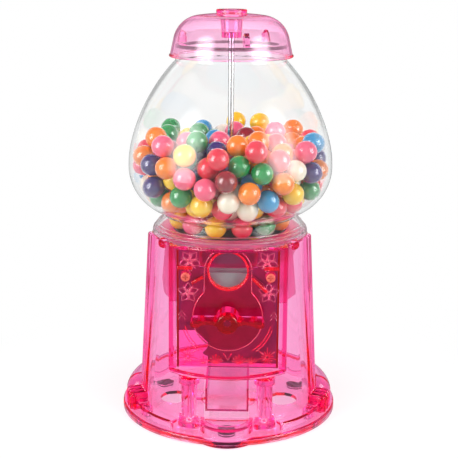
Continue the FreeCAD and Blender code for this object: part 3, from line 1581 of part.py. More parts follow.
def pocket_gumballs():
    """The balls that wait in the wheel's pockets."""
    count = int(size("pocket_count"))
    height = size(f"{WHEEL_BOTTOM} + ball_radius + ball_gap")
    balls = []
    for number in range(count):
        turn = 2 * math.pi * number / count
        rho = size(f"{BOWL_INNER} - ball_radius - wheel_gap * 2")
        centre = Vector(rho * math.cos(turn), rho * math.sin(turn), height)
        balls.append(Part.makeSphere(size("ball_radius"), centre))
    return group("pocket_gumballs", balls)


nodes = [
    pedestal(),
    base_plate(),
    rubber_feet(),
    base_screws(),
    coin_plug(),
    faceplate(),
    faceplate_screws(),
    handle(),
    drive_shaft(),
    coin_wheel(),
    coin_housing(),
    drive_gear(),
    shaft_clip(),
    hopper(),
    gumball_wheel(),
    crown_gear(),
    wheel_guard(),
    gear_bracket(),
    bracket_screws(),
    center_rod(),
    rod_washer(),
    rod_nut(),
    chute(),
    globe(),
    lid(),
    lid_knob(),
    knob_bush(),
    pocket_gumballs(),
]
nodes += gumballs()
doc.recompute()

broken = [item.Name for item in doc.Objects if "Invalid" in item.State or "Error" in item.State]
if broken:
    raise RuntimeError(f"objects failed to build: {broken}")
for node in nodes:
    if node.Shape.isNull() or not node.Shape.isValid():
        raise RuntimeError(f"{node.Label} is not a valid shape")

os.makedirs("parts", exist_ok=True)
for node in nodes:
    node.Shape.exportStep(os.path.join("parts", f"{node.Label}.step"))
    print(node.Label, len(node.Shape.Solids), round(node.Shape.Volume, 1))
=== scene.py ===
import json
from math import acos, asin, cos, degrees, pi, radians, sin

import bpy
from mathutils import Euler, Matrix, Vector


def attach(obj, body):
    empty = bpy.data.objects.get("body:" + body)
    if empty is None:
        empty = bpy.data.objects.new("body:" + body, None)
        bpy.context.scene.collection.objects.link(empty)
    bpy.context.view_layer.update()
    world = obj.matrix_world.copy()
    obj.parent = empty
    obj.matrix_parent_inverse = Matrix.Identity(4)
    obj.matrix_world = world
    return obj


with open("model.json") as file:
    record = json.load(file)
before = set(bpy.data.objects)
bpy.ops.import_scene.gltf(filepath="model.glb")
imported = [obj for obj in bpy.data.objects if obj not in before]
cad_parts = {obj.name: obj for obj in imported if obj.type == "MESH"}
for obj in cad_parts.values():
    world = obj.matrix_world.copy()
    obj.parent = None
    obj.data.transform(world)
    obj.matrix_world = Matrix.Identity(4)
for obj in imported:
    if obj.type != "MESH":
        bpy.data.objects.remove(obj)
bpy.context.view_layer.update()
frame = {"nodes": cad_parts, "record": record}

NODES = frame["nodes"]
MM_PER_METRE = 1000.0

# The camera: distance from the rod and height above the table in metres, and its turns in degrees.
CAMERA_DISTANCE = 0.7014
CAMERA_HEIGHT = 0.3021
CAMERA_SIDE = 1.2
CAMERA_PITCH = 14.1
CAMERA_ROLL = 0.45
CAMERA_YAW = 0.05
CAMERA_LENS = 83.87
SENSOR = 36.0
NEAREST, FARTHEST = 0.01, 60.0

# The faceplate, in millimetres: fronts of plate and pad, and the keyhole pad's outline.
PLATE_Y = -44.0
PAD_Y = -47.0
FACE_TOP = 123.0
WINDOW_HEIGHT = 109.7
PAD_NECK = 15.2
PAD_RADIUS = 22.6
HANDLE_HEIGHT = 78.6
NECK_STEPS = 12
DISC_STEPS = 40

# The faceplate's moulded lines, in millimetres: places as (x, z), and half thicknesses.
LINE_Y = PLATE_Y - 0.05
TOP_FLOWERS = ((-24.6, 115.4), (25.2, 115.4))
LOW_FLOWERS = ((-25.8, 94.4), (26.4, 94.4))
CHEVRON = ((27.6, 76.0), (30.0, 79.2), (32.0, 76.0))
CHEVRON_LIFTS = (0.0, 2.8)
SPARK_X, SPARK_Z = 26.0, 50.6
INNER_SPRAY_X, OUTER_SPRAY_X, SPRAY_Z = 7.6, 15.8, 45.2
MIDDLE_NOTCH = ((-2.6, 53.0), (0.0, 48.4), (2.6, 53.0))
WINDOW_RIM_RADIUS = 12.75
FLOWER_LINE = 0.23
SPARK_LINE = 0.27
PAD_LINE = 0.22
WINDOW_LINE = 0.5

# The moulded figures, as shares of their radius: petals, the lines between them, rays and leaves.
PETAL_START, PETAL_LENGTH, PETAL_HALF_WIDTH = 0.16, 0.84, 0.26
PETAL_FULLNESS = 0.75
BETWEEN_START, BETWEEN_LENGTH = 0.35, 0.45
RAY_START, SHORT_RAY = 0.14, 0.66
LEAF_START_MM, LEAF_LOSS = 0.6, 0.35

# The raised bars of the faceplate, in millimetres and degrees: x, z, length, width, turn.
FACE_BARS = (
    (-28.0, 111.0, 9.6, 2.2, 0.0),
    (28.0, 111.0, 9.6, 2.2, 0.0),
    (-19.8, 102.8, 8.4, 1.8, -29.0),
    (20.4, 99.8, 13.0, 1.8, 44.0),
)
BAR_Y = PLATE_Y - 0.4
BAR_DEPTH = 1.6
BAR_ROUNDING = 0.5

# The frills at the feet of the columns beside the tray, in millimetres.
COLUMN_X = 24.3
FRILL_Y = -60.9
FRILL_Z = 13.4
FRILL_RADIUS = 4.6
FRILL_EYE_RADIUS = 1.5
FRILL_LINE = 0.28

# The fine steps round the globe's foot, in millimetres: radius and height of each, and half thickness.
FLARE_STEPS = ((51.3, 128.4), (50.0, 130.1), (48.6, 131.9))
FLARE_LINE = 0.40
FLARE_CORNERS = 120

# Edges sharper than these angles, in degrees, stay sharp.
NODE_SMOOTH, LINE_SMOOTH, BAR_SMOOTH = 32, 50, 40

# Dyes inside the plastics, linear.
PINK_DYE = (0.985, 0.0, 0.60, 1.0)
DEEP_DYE = (0.985, 0.0, 0.48, 1.0)
CHUTE_DYE = (0.985, 0.0, 0.74, 1.0)
CLEAR_DYE = (0.80, 0.90, 0.88, 1.0)

# Surface tints of the plastics, linear: (palest, deepest).
PINK_SURFACE = (1.0, 0.985, 0.992, 1.0)
PINK_TINTS = (PINK_SURFACE, (1.0, 0.965, 0.98, 1))
LID_TINTS = (PINK_SURFACE, (1.0, 0.97, 0.985, 1))
RELIEF_TINTS = (PINK_SURFACE, (1.0, 0.94, 0.97, 1))
DEEP_TINTS = ((1.0, 0.24, 0.64, 1.0), (1.0, 0.21, 0.60, 1))
HOPPER_TINTS = ((1.0, 0.55, 0.80, 1), (1.0, 0.50, 0.76, 1))
CLEAR_TINTS = ((1.0, 1.0, 1.0, 1.0), (0.985, 0.99, 0.99, 1))

# Colours of the painted glow, linear: an emission all over the plastics that stands in for the light they
# trap, and shows most at their edges.
PAINTED_EDGE_GLOW = (1.0, 0.10, 0.13, 1.0)
PAINTED_RELIEF_GLOW = (1.0, 0.30, 0.36, 1.0)
PAINTED_RED_GLOW = (1.0, 0.06, 0.09, 1.0)
PAINTED_HOPPER_GLOW = (1.0, 0.10, 0.32, 1.0)

# The see-through plastics' refractive indices, roughness and strength of the moulding ripple.
PINK_IOR, CLEAR_IOR = 1.47, 1.38
PINK_ROUGHNESS, RELIEF_ROUGHNESS, CLEAR_ROUGHNESS = 0.012, 0.03, 0.008
PINK_RIPPLE, CLEAR_RIPPLE = 0.03, 0.02

# The pink plastics. The density of the dye is per metre, and the glow, a painted emission that stands in for
# trapped light, a share of white.
PINK_PLASTICS = {
    "pink_shell": {"tints": PINK_TINTS, "dye": PINK_DYE, "density": 165.0, "glow": 0.0032},
    "pink_chute": {"tints": PINK_TINTS, "dye": CHUTE_DYE, "density": 110.0, "roughness": 0.20, "glow": 0.003},
    "pink_dark": {"tints": DEEP_TINTS, "dye": DEEP_DYE, "density": 180.0, "glow": 0.004},
    "pink_hopper": {
        "tints": HOPPER_TINTS, "dye": PINK_DYE, "density": 90.0,
        "roughness": 0.35, "glow": 0.035, "painted_glow_colour": PAINTED_HOPPER_GLOW,
    },
    # The relief lines' strong glow is painted, so that they read as lit lines.
    "pink_relief": {
        "tints": RELIEF_TINTS, "dye": PINK_DYE, "density": 300.0,
        "roughness": RELIEF_ROUGHNESS, "glow": 0.10, "painted_glow_colour": PAINTED_RELIEF_GLOW,
    },
    "red_relief": {
        "tints": DEEP_TINTS, "dye": DEEP_DYE, "density": 2200.0,
        "roughness": RELIEF_ROUGHNESS, "glow": 0.18, "painted_glow_colour": PAINTED_RED_GLOW,
    },
    "pink_lid": {"tints": LID_TINTS, "dye": PINK_DYE, "density": 175.0, "glow": 0.004},
}

# The globe: its dye, and the heights in metres between which its frosted seat and the painted shade on its
# lip under the lid set in.
CLEAR_DENSITY = 12.0
SEAT_HEIGHTS = (0.1312, 0.1288)
SEAT_FROST = 0.25
LIP_HEIGHTS = (0.2474, 0.2482)
PAINTED_LIP_SHADE = (0.30, 0.27, 0.28, 1)

# Plain plastics and metals, linear: two colours, two roughnesses, and the way of the metals' drawing lines.
SATIN_PLASTICS = {
    "rubber": ((0.012, 0.011, 0.012, 1), (0.03, 0.027, 0.03, 1), 0.6, 0.8),
    "dark_plastic": ((0.030, 0.028, 0.032, 1), (0.055, 0.05, 0.056, 1), 0.35, 0.5),
    "grey_plastic": ((0.21, 0.21, 0.22, 1), (0.28, 0.28, 0.29, 1), 0.35, 0.5),
    "screw_pink": ((0.62, 0.085, 0.075, 1), (0.80, 0.14, 0.11, 1), 0.2, 0.3),
}
DRAWN_METALS = {
    "steel": ((0.52, 0.53, 0.55, 1), (0.70, 0.71, 0.73, 1), 0.25, 0.4, (1, 1, 6)),
    "shaft_steel": ((0.19, 0.12, 0.10, 1), (0.28, 0.19, 0.16, 1), 0.3, 0.45, (1, 6, 1)),
    "chrome": ((0.44, 0.44, 0.45, 1), (0.58, 0.58, 0.59, 1), 0.10, 0.2, (1, 1, 0.05)),
}

# The gumballs' coatings, linear: the two colours of each one's mottle.
GUM_COLOURS = {
    "gum_white": ((0.88, 0.80, 0.62, 1), (0.95, 0.90, 0.76, 1)),
    "gum_yellow": ((0.93, 0.52, 0.012, 1), (0.98, 0.66, 0.03, 1)),
    "gum_orange": ((0.90, 0.19, 0.008, 1), (0.96, 0.27, 0.018, 1)),
    "gum_coral": ((0.74, 0.030, 0.060, 1), (0.86, 0.060, 0.10, 1)),
    "gum_pink": ((0.86, 0.10, 0.20, 1), (0.92, 0.15, 0.27, 1)),
    "gum_green": ((0.012, 0.22, 0.055, 1), (0.028, 0.33, 0.085, 1)),
    "gum_blue": ((0.020, 0.24, 0.52, 1), (0.055, 0.36, 0.64, 1)),
    "gum_purple": ((0.030, 0.018, 0.12, 1), (0.060, 0.030, 0.18, 1)),
    "gum_maroon": ((0.20, 0.010, 0.018, 1), (0.30, 0.014, 0.026, 1)),
}

# Where in a noise a tint runs from its first colour to its second.
TINT_START, TINT_END = 0.3, 0.7

# Nodes with a finish of their own within their slot: the frosted chute and hopper, and the dull drive shaft.
NODE_FINISH = {"chute": "pink_chute", "hopper": "pink_hopper", "drive_shaft": "shaft_steel"}

# The white surroundings: their level where they are seen, mirrored in gloss, and as light.
WHITE = (1, 1, 1, 1)
SEEN_LEVEL = 1.0
MIRRORED_LEVEL = 0.12
LIT_LEVEL = 0.5

# The surroundings seen through plastic: dimmer overhead, and in the gaps between eight white flats.
CEILING_SPAN = (0.25, 0.75)
CEILING_LEVELS = (1.4, 0.35)
FLAT_COUNT = 8.0
FLAT_SPAN = (-0.7, 0.2)
FLAT_LEVELS = (0.45, 1.0)

# The table, in metres: where it fades out, the share of white from near to far, and its level in gloss.
FLOOR_SIZE = 40.0
FLOOR_FADE = (0.07, 0.22)
FLOOR_WHITE = (0.6, 1.0)
FLOOR_TINTS = ((0.95, 0.95, 0.95, 1), (0.97, 0.97, 0.97, 1))
FLOOR_ROUGHNESS = 0.6
FLOOR_MIRRORED = 0.28

# The lamps and panels: what they face, their sizes in metres, powers in watts and the panels' level.
LAMP_AIM = (0, 0, 0.15)
SIDE_SIZE, SIDE_POWER = (0.5, 0.8), 6.6
TOP_SIZE, TOP_POWER = (0.8, 0.6), 7.0
PANEL_AIM = (0, 0, 0.2)
PANEL_SIZE, PANEL_LEVEL = (0.85, 1.2), 8.0
PANEL_FADE = (0.35, 1.0)
LIGHT_BOUNCES = 96
SEE_THROUGH_BOUNCES = 64


def new_material(name):
    """An empty node material with its output."""
    material = bpy.data.materials.new(name)
    material.use_nodes = True
    tree = material.node_tree
    tree.nodes.clear()
    output = tree.nodes.new("ShaderNodeOutputMaterial")
    return material, tree, output


def feed(tree, socket, value):
    """A socket takes a number, or another node's output."""
    if isinstance(value, bpy.types.NodeSocket):
        tree.links.new(value, socket)
    else:
        socket.default_value = value


def maths(tree, operation, *values, clamp=False):
    """The result of a Math node, whose values are numbers or other nodes' outputs."""
    node = tree.nodes.new("ShaderNodeMath")
    node.operation = operation
    node.use_clamp = clamp
    for socket, value in zip(node.inputs, values):
        feed(tree, socket, value)
    return node.outputs["Value"]


def map_range(tree, value, span, result, interpolation="SMOOTHSTEP"):
    """A value carried over from one span to another."""
    node = tree.nodes.new("ShaderNodeMapRange")
    node.interpolation_type = interpolation
    node.inputs["From Min"].default_value, node.inputs["From Max"].default_value = span
    node.inputs["To Min"].default_value, node.inputs["To Max"].default_value = result
    tree.links.new(value, node.inputs["Value"])
    return node.outputs["Result"]


def length_of(tree, vector):
    """The length of a vector."""
    node = tree.nodes.new("ShaderNodeVectorMath")
    node.operation = "LENGTH"
    tree.links.new(vector, node.inputs[0])
    return node.outputs["Value"]


def mix_shaders(tree, share, first, second):
    """The first shader where the share is 0, and the second where it is 1."""
    node = tree.nodes.new("ShaderNodeMixShader")
    tree.links.new(share, node.inputs["Fac"])
    tree.links.new(first, node.inputs[1])
    tree.links.new(second, node.inputs[2])
    return node.outputs["Shader"]


def object_noise(tree, scale, detail, stretch=(1.0, 1.0, 1.0)):
    """Noise in the piece's own coordinates."""
    place = tree.nodes.new("ShaderNodeTexCoord")
    mapping = tree.nodes.new("ShaderNodeMapping")
    mapping.inputs["Scale"].default_value = stretch
    noise = tree.nodes.new("ShaderNodeTexNoise")
    noise.inputs["Scale"].default_value = scale
    noise.inputs["Detail"].default_value = detail
    tree.links.new(place.outputs["Object"], mapping.inputs["Vector"])
    tree.links.new(mapping.outputs["Vector"], noise.inputs["Vector"])
    return noise.outputs["Fac"]


def tinted(tree, shader, noise, low, high):
    """A base colour between low and high by a noise."""
    node = tree.nodes.new("ShaderNodeValToRGB")
    first, last = node.color_ramp.elements
    first.position, first.color = TINT_START, low
    last.position, last.color = TINT_END, high
    tree.links.new(noise, node.inputs["Fac"])
    tree.links.new(node.outputs["Color"], shader.inputs["Base Color"])


def roughened(tree, shader, noise, low, high):
    """A roughness between low and high by a noise."""
    roughness = map_range(tree, noise, (0.0, 1.0), (low, high), "LINEAR")
    tree.links.new(roughness, shader.inputs["Roughness"])


def bumped(tree, shader, noise, strength, distance):
    """A fine surface ripple."""
    bump = tree.nodes.new("ShaderNodeBump")
    bump.inputs["Strength"].default_value = strength
    bump.inputs["Distance"].default_value = distance
    tree.links.new(noise, bump.inputs["Height"])
    tree.links.new(bump.outputs["Normal"], shader.inputs["Normal"])


def clear_plastic(name, tints, dye, density, roughness=PINK_ROUGHNESS, ripple=PINK_RIPPLE, ior=PINK_IOR,
                  glow=0.0, painted_glow_colour=PAINTED_EDGE_GLOW):
    """Moulded see-through plastic: dyed all through, with a faint moulding ripple, and a painted glow that
    lights its edges.
    """
    material, tree, output = new_material(name)
    material.cycles.emission_sampling = "NONE"
    surface, surface_low = tints
    shader = tree.nodes.new("ShaderNodeBsdfPrincipled")
    shader.inputs["Transmission Weight"].default_value = 1.0
    shader.inputs["IOR"].default_value = ior
    # Painted glow: a faint emission all over, which the plastic itself doesn't give off.
    shader.inputs["Emission Color"].default_value = painted_glow_colour
    shader.inputs["Emission Strength"].default_value = glow
    flow = object_noise(tree, scale=26.0, detail=2.0, stretch=(1.0, 1.0, 0.4))
    tinted(tree, shader, flow, surface_low, surface)
    roughened(tree, shader, flow, low=roughness * 0.6, high=roughness * 1.4)
    bumped(tree, shader, flow, strength=ripple, distance=0.0006)
    lamp_way = tree.nodes.new("ShaderNodeBsdfTransparent")
    lamp_way.inputs["Color"].default_value = surface
    shadow = tree.nodes.new("ShaderNodeLightPath").outputs["Is Shadow Ray"]
    mixed = mix_shaders(tree, shadow, shader.outputs["BSDF"], lamp_way.outputs["BSDF"])
    tree.links.new(mixed, output.inputs["Surface"])
    inside = tree.nodes.new("ShaderNodeVolumeAbsorption")
    inside.inputs["Color"].default_value = dye
    inside.inputs["Density"].default_value = density
    tree.links.new(inside.outputs["Volume"], output.inputs["Volume"])
    return material


def height_share(tree, heights):
    """0 at one height of the piece and 1 at another."""
    place = tree.nodes.new("ShaderNodeTexCoord")
    parts = tree.nodes.new("ShaderNodeSeparateXYZ")
    tree.links.new(place.outputs["Object"], parts.inputs["Vector"])
    return map_range(tree, parts.outputs["Z"], heights, (0.0, 1.0))


def globe_plastic(name):
    """The globe's clear plastic: polished, with a frosted seat at its foot and painted shade darkening the
    lip at its neck, under the lid.
    """
    material = clear_plastic(
        name, CLEAR_TINTS, CLEAR_DYE, CLEAR_DENSITY, CLEAR_ROUGHNESS, CLEAR_RIPPLE, CLEAR_IOR)
    tree = material.node_tree
    shader = [node for node in tree.nodes if node.type == "BSDF_PRINCIPLED"][0]
    polish = shader.inputs["Roughness"].links[0].from_socket
    frosted = maths(tree, "MULTIPLY_ADD", height_share(tree, SEAT_HEIGHTS), SEAT_FROST, polish)
    tree.links.new(frosted, shader.inputs["Roughness"])
    tint = shader.inputs["Base Color"].links[0].from_socket
    # Painted shade: the lip that runs up under the lid is tinted dark grey.
    lip_shade = tree.nodes.new("ShaderNodeMix")
    lip_shade.data_type = "RGBA"
    colours = [socket for socket in lip_shade.inputs if socket.type == "RGBA"]
    colours[1].default_value = PAINTED_LIP_SHADE
    tree.links.new(height_share(tree, LIP_HEIGHTS), lip_shade.inputs["Factor"])
    tree.links.new(tint, colours[0])
    mixed = [socket for socket in lip_shade.outputs if socket.type == "RGBA"][0]
    tree.links.new(mixed, shader.inputs["Base Color"])
    return material


def candy_shell(name, low, high):
    """A polished sugar coating with a slight mottle."""
    material, tree, output = new_material(name)
    shader = tree.nodes.new("ShaderNodeBsdfPrincipled")
    shader.inputs["IOR"].default_value = 1.45
    shader.inputs["Coat Weight"].default_value = 1.0
    shader.inputs["Coat Roughness"].default_value = 0.08
    mottle = object_noise(tree, scale=120.0, detail=3.0)
    tinted(tree, shader, mottle, low, high)
    roughened(tree, shader, mottle, low=0.16, high=0.26)
    skin = object_noise(tree, scale=420.0, detail=2.0)
    bumped(tree, shader, skin, strength=0.06, distance=0.0004)
    tree.links.new(shader.outputs["BSDF"], output.inputs["Surface"])
    return material


def satin_plastic(name, low, high, rough_low, rough_high):
    """Plain moulded plastic with a fine grain."""
    material, tree, output = new_material(name)
    shader = tree.nodes.new("ShaderNodeBsdfPrincipled")
    cloud = object_noise(tree, scale=90.0, detail=4.0)
    tinted(tree, shader, cloud, low, high)
    roughened(tree, shader, cloud, rough_low, rough_high)
    grain = object_noise(tree, scale=2600.0, detail=2.0)
    bumped(tree, shader, grain, strength=0.12, distance=0.0003)
    tree.links.new(shader.outputs["BSDF"], output.inputs["Surface"])
    return material


def drawn_metal(name, low, high, rough_low, rough_high, stretch):
    """Bright metal with fine drawing lines along one way."""
    material, tree, output = new_material(name)
    shader = tree.nodes.new("ShaderNodeBsdfPrincipled")
    shader.inputs["Metallic"].default_value = 1.0
    lines = object_noise(tree, scale=300.0, detail=3.0, stretch=stretch)
    tinted(tree, shader, lines, low, high)
    roughened(tree, shader, lines, rough_low, rough_high)
    bumped(tree, shader, lines, strength=0.08, distance=0.0002)
    tree.links.new(shader.outputs["BSDF"], output.inputs["Surface"])
    return material


def finishes():
    """A material for each slot of the record, for the moulded lines and for the nodes of NODE_FINISH."""
    made = {name: clear_plastic(name, **look) for name, look in PINK_PLASTICS.items()}
    made["clear"] = globe_plastic("clear")
    for finish, looks in (
        (satin_plastic, SATIN_PLASTICS),
        (drawn_metal, DRAWN_METALS),
        (candy_shell, GUM_COLOURS),
    ):
        for name, look in looks.items():
            made[name] = finish(name, *look)
    return made


def pick_only(piece):
    """One piece is selected and active, and nothing else."""
    bpy.ops.object.select_all(action="DESELECT")
    piece.select_set(True)
    bpy.context.view_layer.objects.active = piece


def dress(piece, material):
    """A piece takes one material."""
    piece.data.materials.clear()
    piece.data.materials.append(material)


def dress_nodes(made):
    """Each CAD node takes its finish and smooth shading."""
    for part in frame["record"]["subparts"]:
        node = NODES[part["node"]]
        dress(node, made[NODE_FINISH.get(part["node"], part["material_slot"])])
        pick_only(node)
        bpy.ops.object.shade_smooth_by_angle(angle=radians(NODE_SMOOTH))


def relief_lines(name, strokes, radius, material):
    """Raised moulding lines: each stroke is (closed, points), a point (x, y, z) in millimetres."""
    data = bpy.data.curves.new(name, "CURVE")
    data.dimensions = "3D"
    data.bevel_depth = radius / MM_PER_METRE
    data.bevel_resolution = 2
    data.use_fill_caps = True
    for closed, points in strokes:
        spline = data.splines.new("POLY")
        spline.points.add(len(points) - 1)
        for point, (x, y, z) in zip(spline.points, points):
            point.co = (x / MM_PER_METRE, y / MM_PER_METRE, z / MM_PER_METRE, 1.0)
        spline.use_cyclic_u = closed
    piece = bpy.data.objects.new(name, data)
    bpy.context.scene.collection.objects.link(piece)
    pick_only(piece)
    bpy.ops.object.convert(target="MESH")
    piece = bpy.context.object
    dress(piece, material)
    bpy.ops.object.mode_set(mode="EDIT")
    bpy.ops.mesh.select_all(action="SELECT")
    bpy.ops.mesh.normals_make_consistent(inside=False)
    bpy.ops.object.mode_set(mode="OBJECT")
    bpy.ops.object.shade_smooth_by_angle(angle=radians(LINE_SMOOTH))
    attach(piece, "base_body")


def petal(x, y, z, turn, start, length, half_width, steps=10):
    """A leaf-shaped loop that points away from (x, z)."""
    along = (sin(radians(turn)), cos(radians(turn)))
    across = (along[1], -along[0])
    points = []
    for step in range(2 * steps):
        share = step / steps if step <= steps else 2.0 - step / steps
        side = 1.0 if step <= steps else -1.0
        out = start + length * share
        wide = side * half_width * sin(pi * share ** PETAL_FULLNESS)
        points.append((x + along[0] * out + across[0] * wide, y, z + along[1] * out + across[1] * wide))
    return True, points


def ray_line(x, y, z, turn, start, length):
    """A short straight line that points away from (x, z)."""
    along = (sin(radians(turn)), cos(radians(turn)))
    ends = (start, start + length * 0.5, start + length)
    return False, [(x + along[0] * out, y, z + along[1] * out) for out in ends]


def line_flower(x, y, z, radius, petals, turn):
    """A flower in outline: leaf-shaped petals with a fine line between each two."""
    strokes = []
    for count in range(petals):
        angle = turn + 360.0 * count / petals
        strokes.append(petal(
            x, y, z, angle, radius * PETAL_START, radius * PETAL_LENGTH, radius * PETAL_HALF_WIDTH))
        between = angle + 180.0 / petals
        strokes.append(ray_line(x, y, z, between, radius * BETWEEN_START, radius * BETWEEN_LENGTH))
    return strokes


def starburst(x, y, z, radius, rays, turn):
    """Fine lines that run out from a point, long and short by turns."""
    start = radius * RAY_START
    strokes = []
    for count in range(rays):
        reach = radius if count % 2 == 0 else radius * SHORT_RAY
        strokes.append(ray_line(x, y, z, turn + 360.0 * count / rays, start, reach - start))
    return strokes


def leaf_spray(x, y, z, size, spread, leaves):
    """A fan of lines that opens upwards."""
    strokes = []
    for count in range(leaves):
        angle = -spread + 2.0 * spread * count / (leaves - 1)
        length = size - abs(angle) / 90.0 * size * LEAF_LOSS
        strokes.append(ray_line(x, y, z, angle, LEAF_START_MM, length))
    return strokes


def keyhole_outline(y):
    """The edge of the keyhole pad: round the window, down the neck and round the handle's disc."""
    top_turn = degrees(acos((FACE_TOP - WINDOW_HEIGHT) / PAD_NECK))
    points = []
    for step in range(NECK_STEPS + 1):
        angle = radians(top_turn + (90.0 - top_turn) * step / NECK_STEPS)
        points.append((PAD_NECK * sin(angle), y, WINDOW_HEIGHT + PAD_NECK * cos(angle)))
    waist_turn = degrees(asin(PAD_NECK / PAD_RADIUS))
    for step in range(DISC_STEPS + 1):
        angle = radians(waist_turn + (180.0 - waist_turn) * step / DISC_STEPS)
        points.append((PAD_RADIUS * sin(angle), y, HANDLE_HEIGHT + PAD_RADIUS * cos(angle)))
    mirrored = [(-x, y, z) for x, y, z in reversed(points[:-1])]
    return False, points + mirrored


def ring_outline(x, y, z, radius, steps=48):
    """A circle that faces the front."""
    turns = [2.0 * pi * step / steps for step in range(steps)]
    return True, [(x + radius * sin(turn), y, z + radius * cos(turn)) for turn in turns]


def pad_arc(y, radius, start, end, steps=24):
    """Part of a circle round the handle, from one turn to another."""
    turns = [radians(start + (end - start) * step / steps) for step in range(steps + 1)]
    return False, [(radius * sin(turn), y, HANDLE_HEIGHT + radius * cos(turn)) for turn in turns]


def flower_strokes():
    """The flowers above and below the screws, and the chevrons at the plate's sides."""
    strokes = []
    for x, z in TOP_FLOWERS:
        strokes += line_flower(x, LINE_Y, z, radius=7.4, petals=5, turn=36.0)
        strokes += starburst(x, LINE_Y, z, radius=4.2, rays=10, turn=18.0)
    for x, z in LOW_FLOWERS:
        strokes += line_flower(x, LINE_Y, z, radius=7.0, petals=5, turn=0.0)
        strokes += starburst(x, LINE_Y, z, radius=3.8, rays=10, turn=18.0)
    for side in (-1, 1):
        for lift in CHEVRON_LIFTS:
            strokes.append((False, [(side * x, LINE_Y, z + lift) for x, z in CHEVRON]))
    return strokes


def spark_strokes():
    """The starbursts, sprays, arcs and notch round the lower half of the pad."""
    strokes = []
    for side in (-1, 1):
        strokes += starburst(side * SPARK_X, LINE_Y, SPARK_Z, radius=6.6, rays=14, turn=0.0)
        strokes += leaf_spray(side * INNER_SPRAY_X, LINE_Y, SPRAY_Z, size=6.4, spread=60.0, leaves=7)
        strokes += leaf_spray(side * OUTER_SPRAY_X, LINE_Y, SPRAY_Z, size=5.2, spread=50.0, leaves=5)
        strokes.append(pad_arc(LINE_Y, radius=28.6, start=side * 104.0, end=side * 146.0))
        strokes.append(pad_arc(LINE_Y, radius=30.4, start=side * 108.0, end=side * 142.0))
    strokes.append((False, [(x, LINE_Y, z) for x, z in MIDDLE_NOTCH]))
    return strokes


def face_ornament(pale, red):
    """The moulded lines of the faceplate, and the rims of its pad and window."""
    rim = ring_outline(0.0, PAD_Y, WINDOW_HEIGHT, WINDOW_RIM_RADIUS)
    relief_lines("face_flowers", flower_strokes(), FLOWER_LINE, pale)
    relief_lines("face_sparks", spark_strokes(), SPARK_LINE, red)
    # The pad's edge and the window's rim are traced with glowing lines: painted highlights along those edges.
    relief_lines("pad_edge", [keyhole_outline(PAD_Y)], PAD_LINE, pale)
    relief_lines("window_rim", [rim], WINDOW_LINE, red)


def flare_rings(material):
    """The moulded steps round the globe's flared foot."""
    turns = [2.0 * pi * step / FLARE_CORNERS for step in range(FLARE_CORNERS)]
    strokes = []
    for radius, height in FLARE_STEPS:
        strokes.append((True, [(radius * cos(turn), radius * sin(turn), height) for turn in turns]))
    relief_lines("flare_rings", strokes, FLARE_LINE, material)


def column_frills(material):
    """A frill of short lines round the front of each column's foot."""
    strokes = []
    for side in (-1, 1):
        strokes += starburst(side * COLUMN_X, FRILL_Y, FRILL_Z, FRILL_RADIUS, rays=14, turn=0.0)
        strokes.append(ring_outline(side * COLUMN_X, FRILL_Y, FRILL_Z, FRILL_EYE_RADIUS, steps=16))
    relief_lines("column_frills", strokes, FRILL_LINE, material)


def face_bar(x, z, length, width, turn):
    """One raised bar on the faceplate, with rounded edges."""
    bpy.ops.object.select_all(action="DESELECT")
    bpy.ops.mesh.primitive_cube_add(size=1.0)
    bar = bpy.context.object
    bar.scale = (length / MM_PER_METRE, BAR_DEPTH / MM_PER_METRE, width / MM_PER_METRE)
    bpy.ops.object.transform_apply(location=False, rotation=False, scale=True)
    rounding = bar.modifiers.new("rounding", "BEVEL")
    rounding.width = BAR_ROUNDING / MM_PER_METRE
    rounding.segments = 3
    bpy.ops.object.modifier_apply(modifier=rounding.name)
    bar.rotation_euler = (0.0, radians(turn), 0.0)
    bar.location = (x / MM_PER_METRE, BAR_Y / MM_PER_METRE, z / MM_PER_METRE)
    bpy.ops.object.transform_apply(location=True, rotation=True, scale=True)
    return bar


def face_bars(material):
    """The shelf over each screw and the slanting ribs beside the window, as one piece."""
    bars = [face_bar(*bar) for bar in FACE_BARS]
    pick_only(bars[0])
    for bar in bars:
        bar.select_set(True)
    bpy.ops.object.join()
    piece = bpy.context.object
    piece.name = "face_bars"
    dress(piece, material)
    bpy.ops.object.shade_smooth_by_angle(angle=radians(BAR_SMOOTH))
    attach(piece, "base_body")


def aim_camera():
    """The photograph's viewpoint."""
    data = bpy.data.cameras.new("photo_camera")
    data.sensor_width = SENSOR
    data.lens = CAMERA_LENS
    data.clip_start = NEAREST
    data.clip_end = FARTHEST
    camera = bpy.data.objects.new("photo_camera", data)
    bpy.context.scene.collection.objects.link(camera)
    side = radians(CAMERA_SIDE)
    place = Vector((CAMERA_DISTANCE * sin(side), -CAMERA_DISTANCE * cos(side), CAMERA_HEIGHT))
    turn = Euler((radians(90 - CAMERA_PITCH), 0, radians(CAMERA_SIDE + CAMERA_YAW))).to_matrix().to_4x4()
    roll = Matrix.Rotation(radians(CAMERA_ROLL), 4, "Z")
    camera.matrix_world = Matrix.Translation(place) @ turn @ roll
    bpy.context.scene.camera = camera
    bpy.context.scene.view_settings.view_transform = "Standard"


def area_lamp(name, shape, place, power):
    """A lamp that faces the object, and is seen neither itself nor through the plastics."""
    data = bpy.data.lights.new(name, "AREA")
    data.shape = shape
    data.energy = power
    lamp = bpy.data.objects.new(name, data)
    bpy.context.scene.collection.objects.link(lamp)
    lamp.location = place
    lamp.rotation_euler = (Vector(LAMP_AIM) - Vector(place)).to_track_quat("-Z", "Y").to_euler()
    lamp.visible_camera = False
    lamp.visible_transmission = False
    return lamp


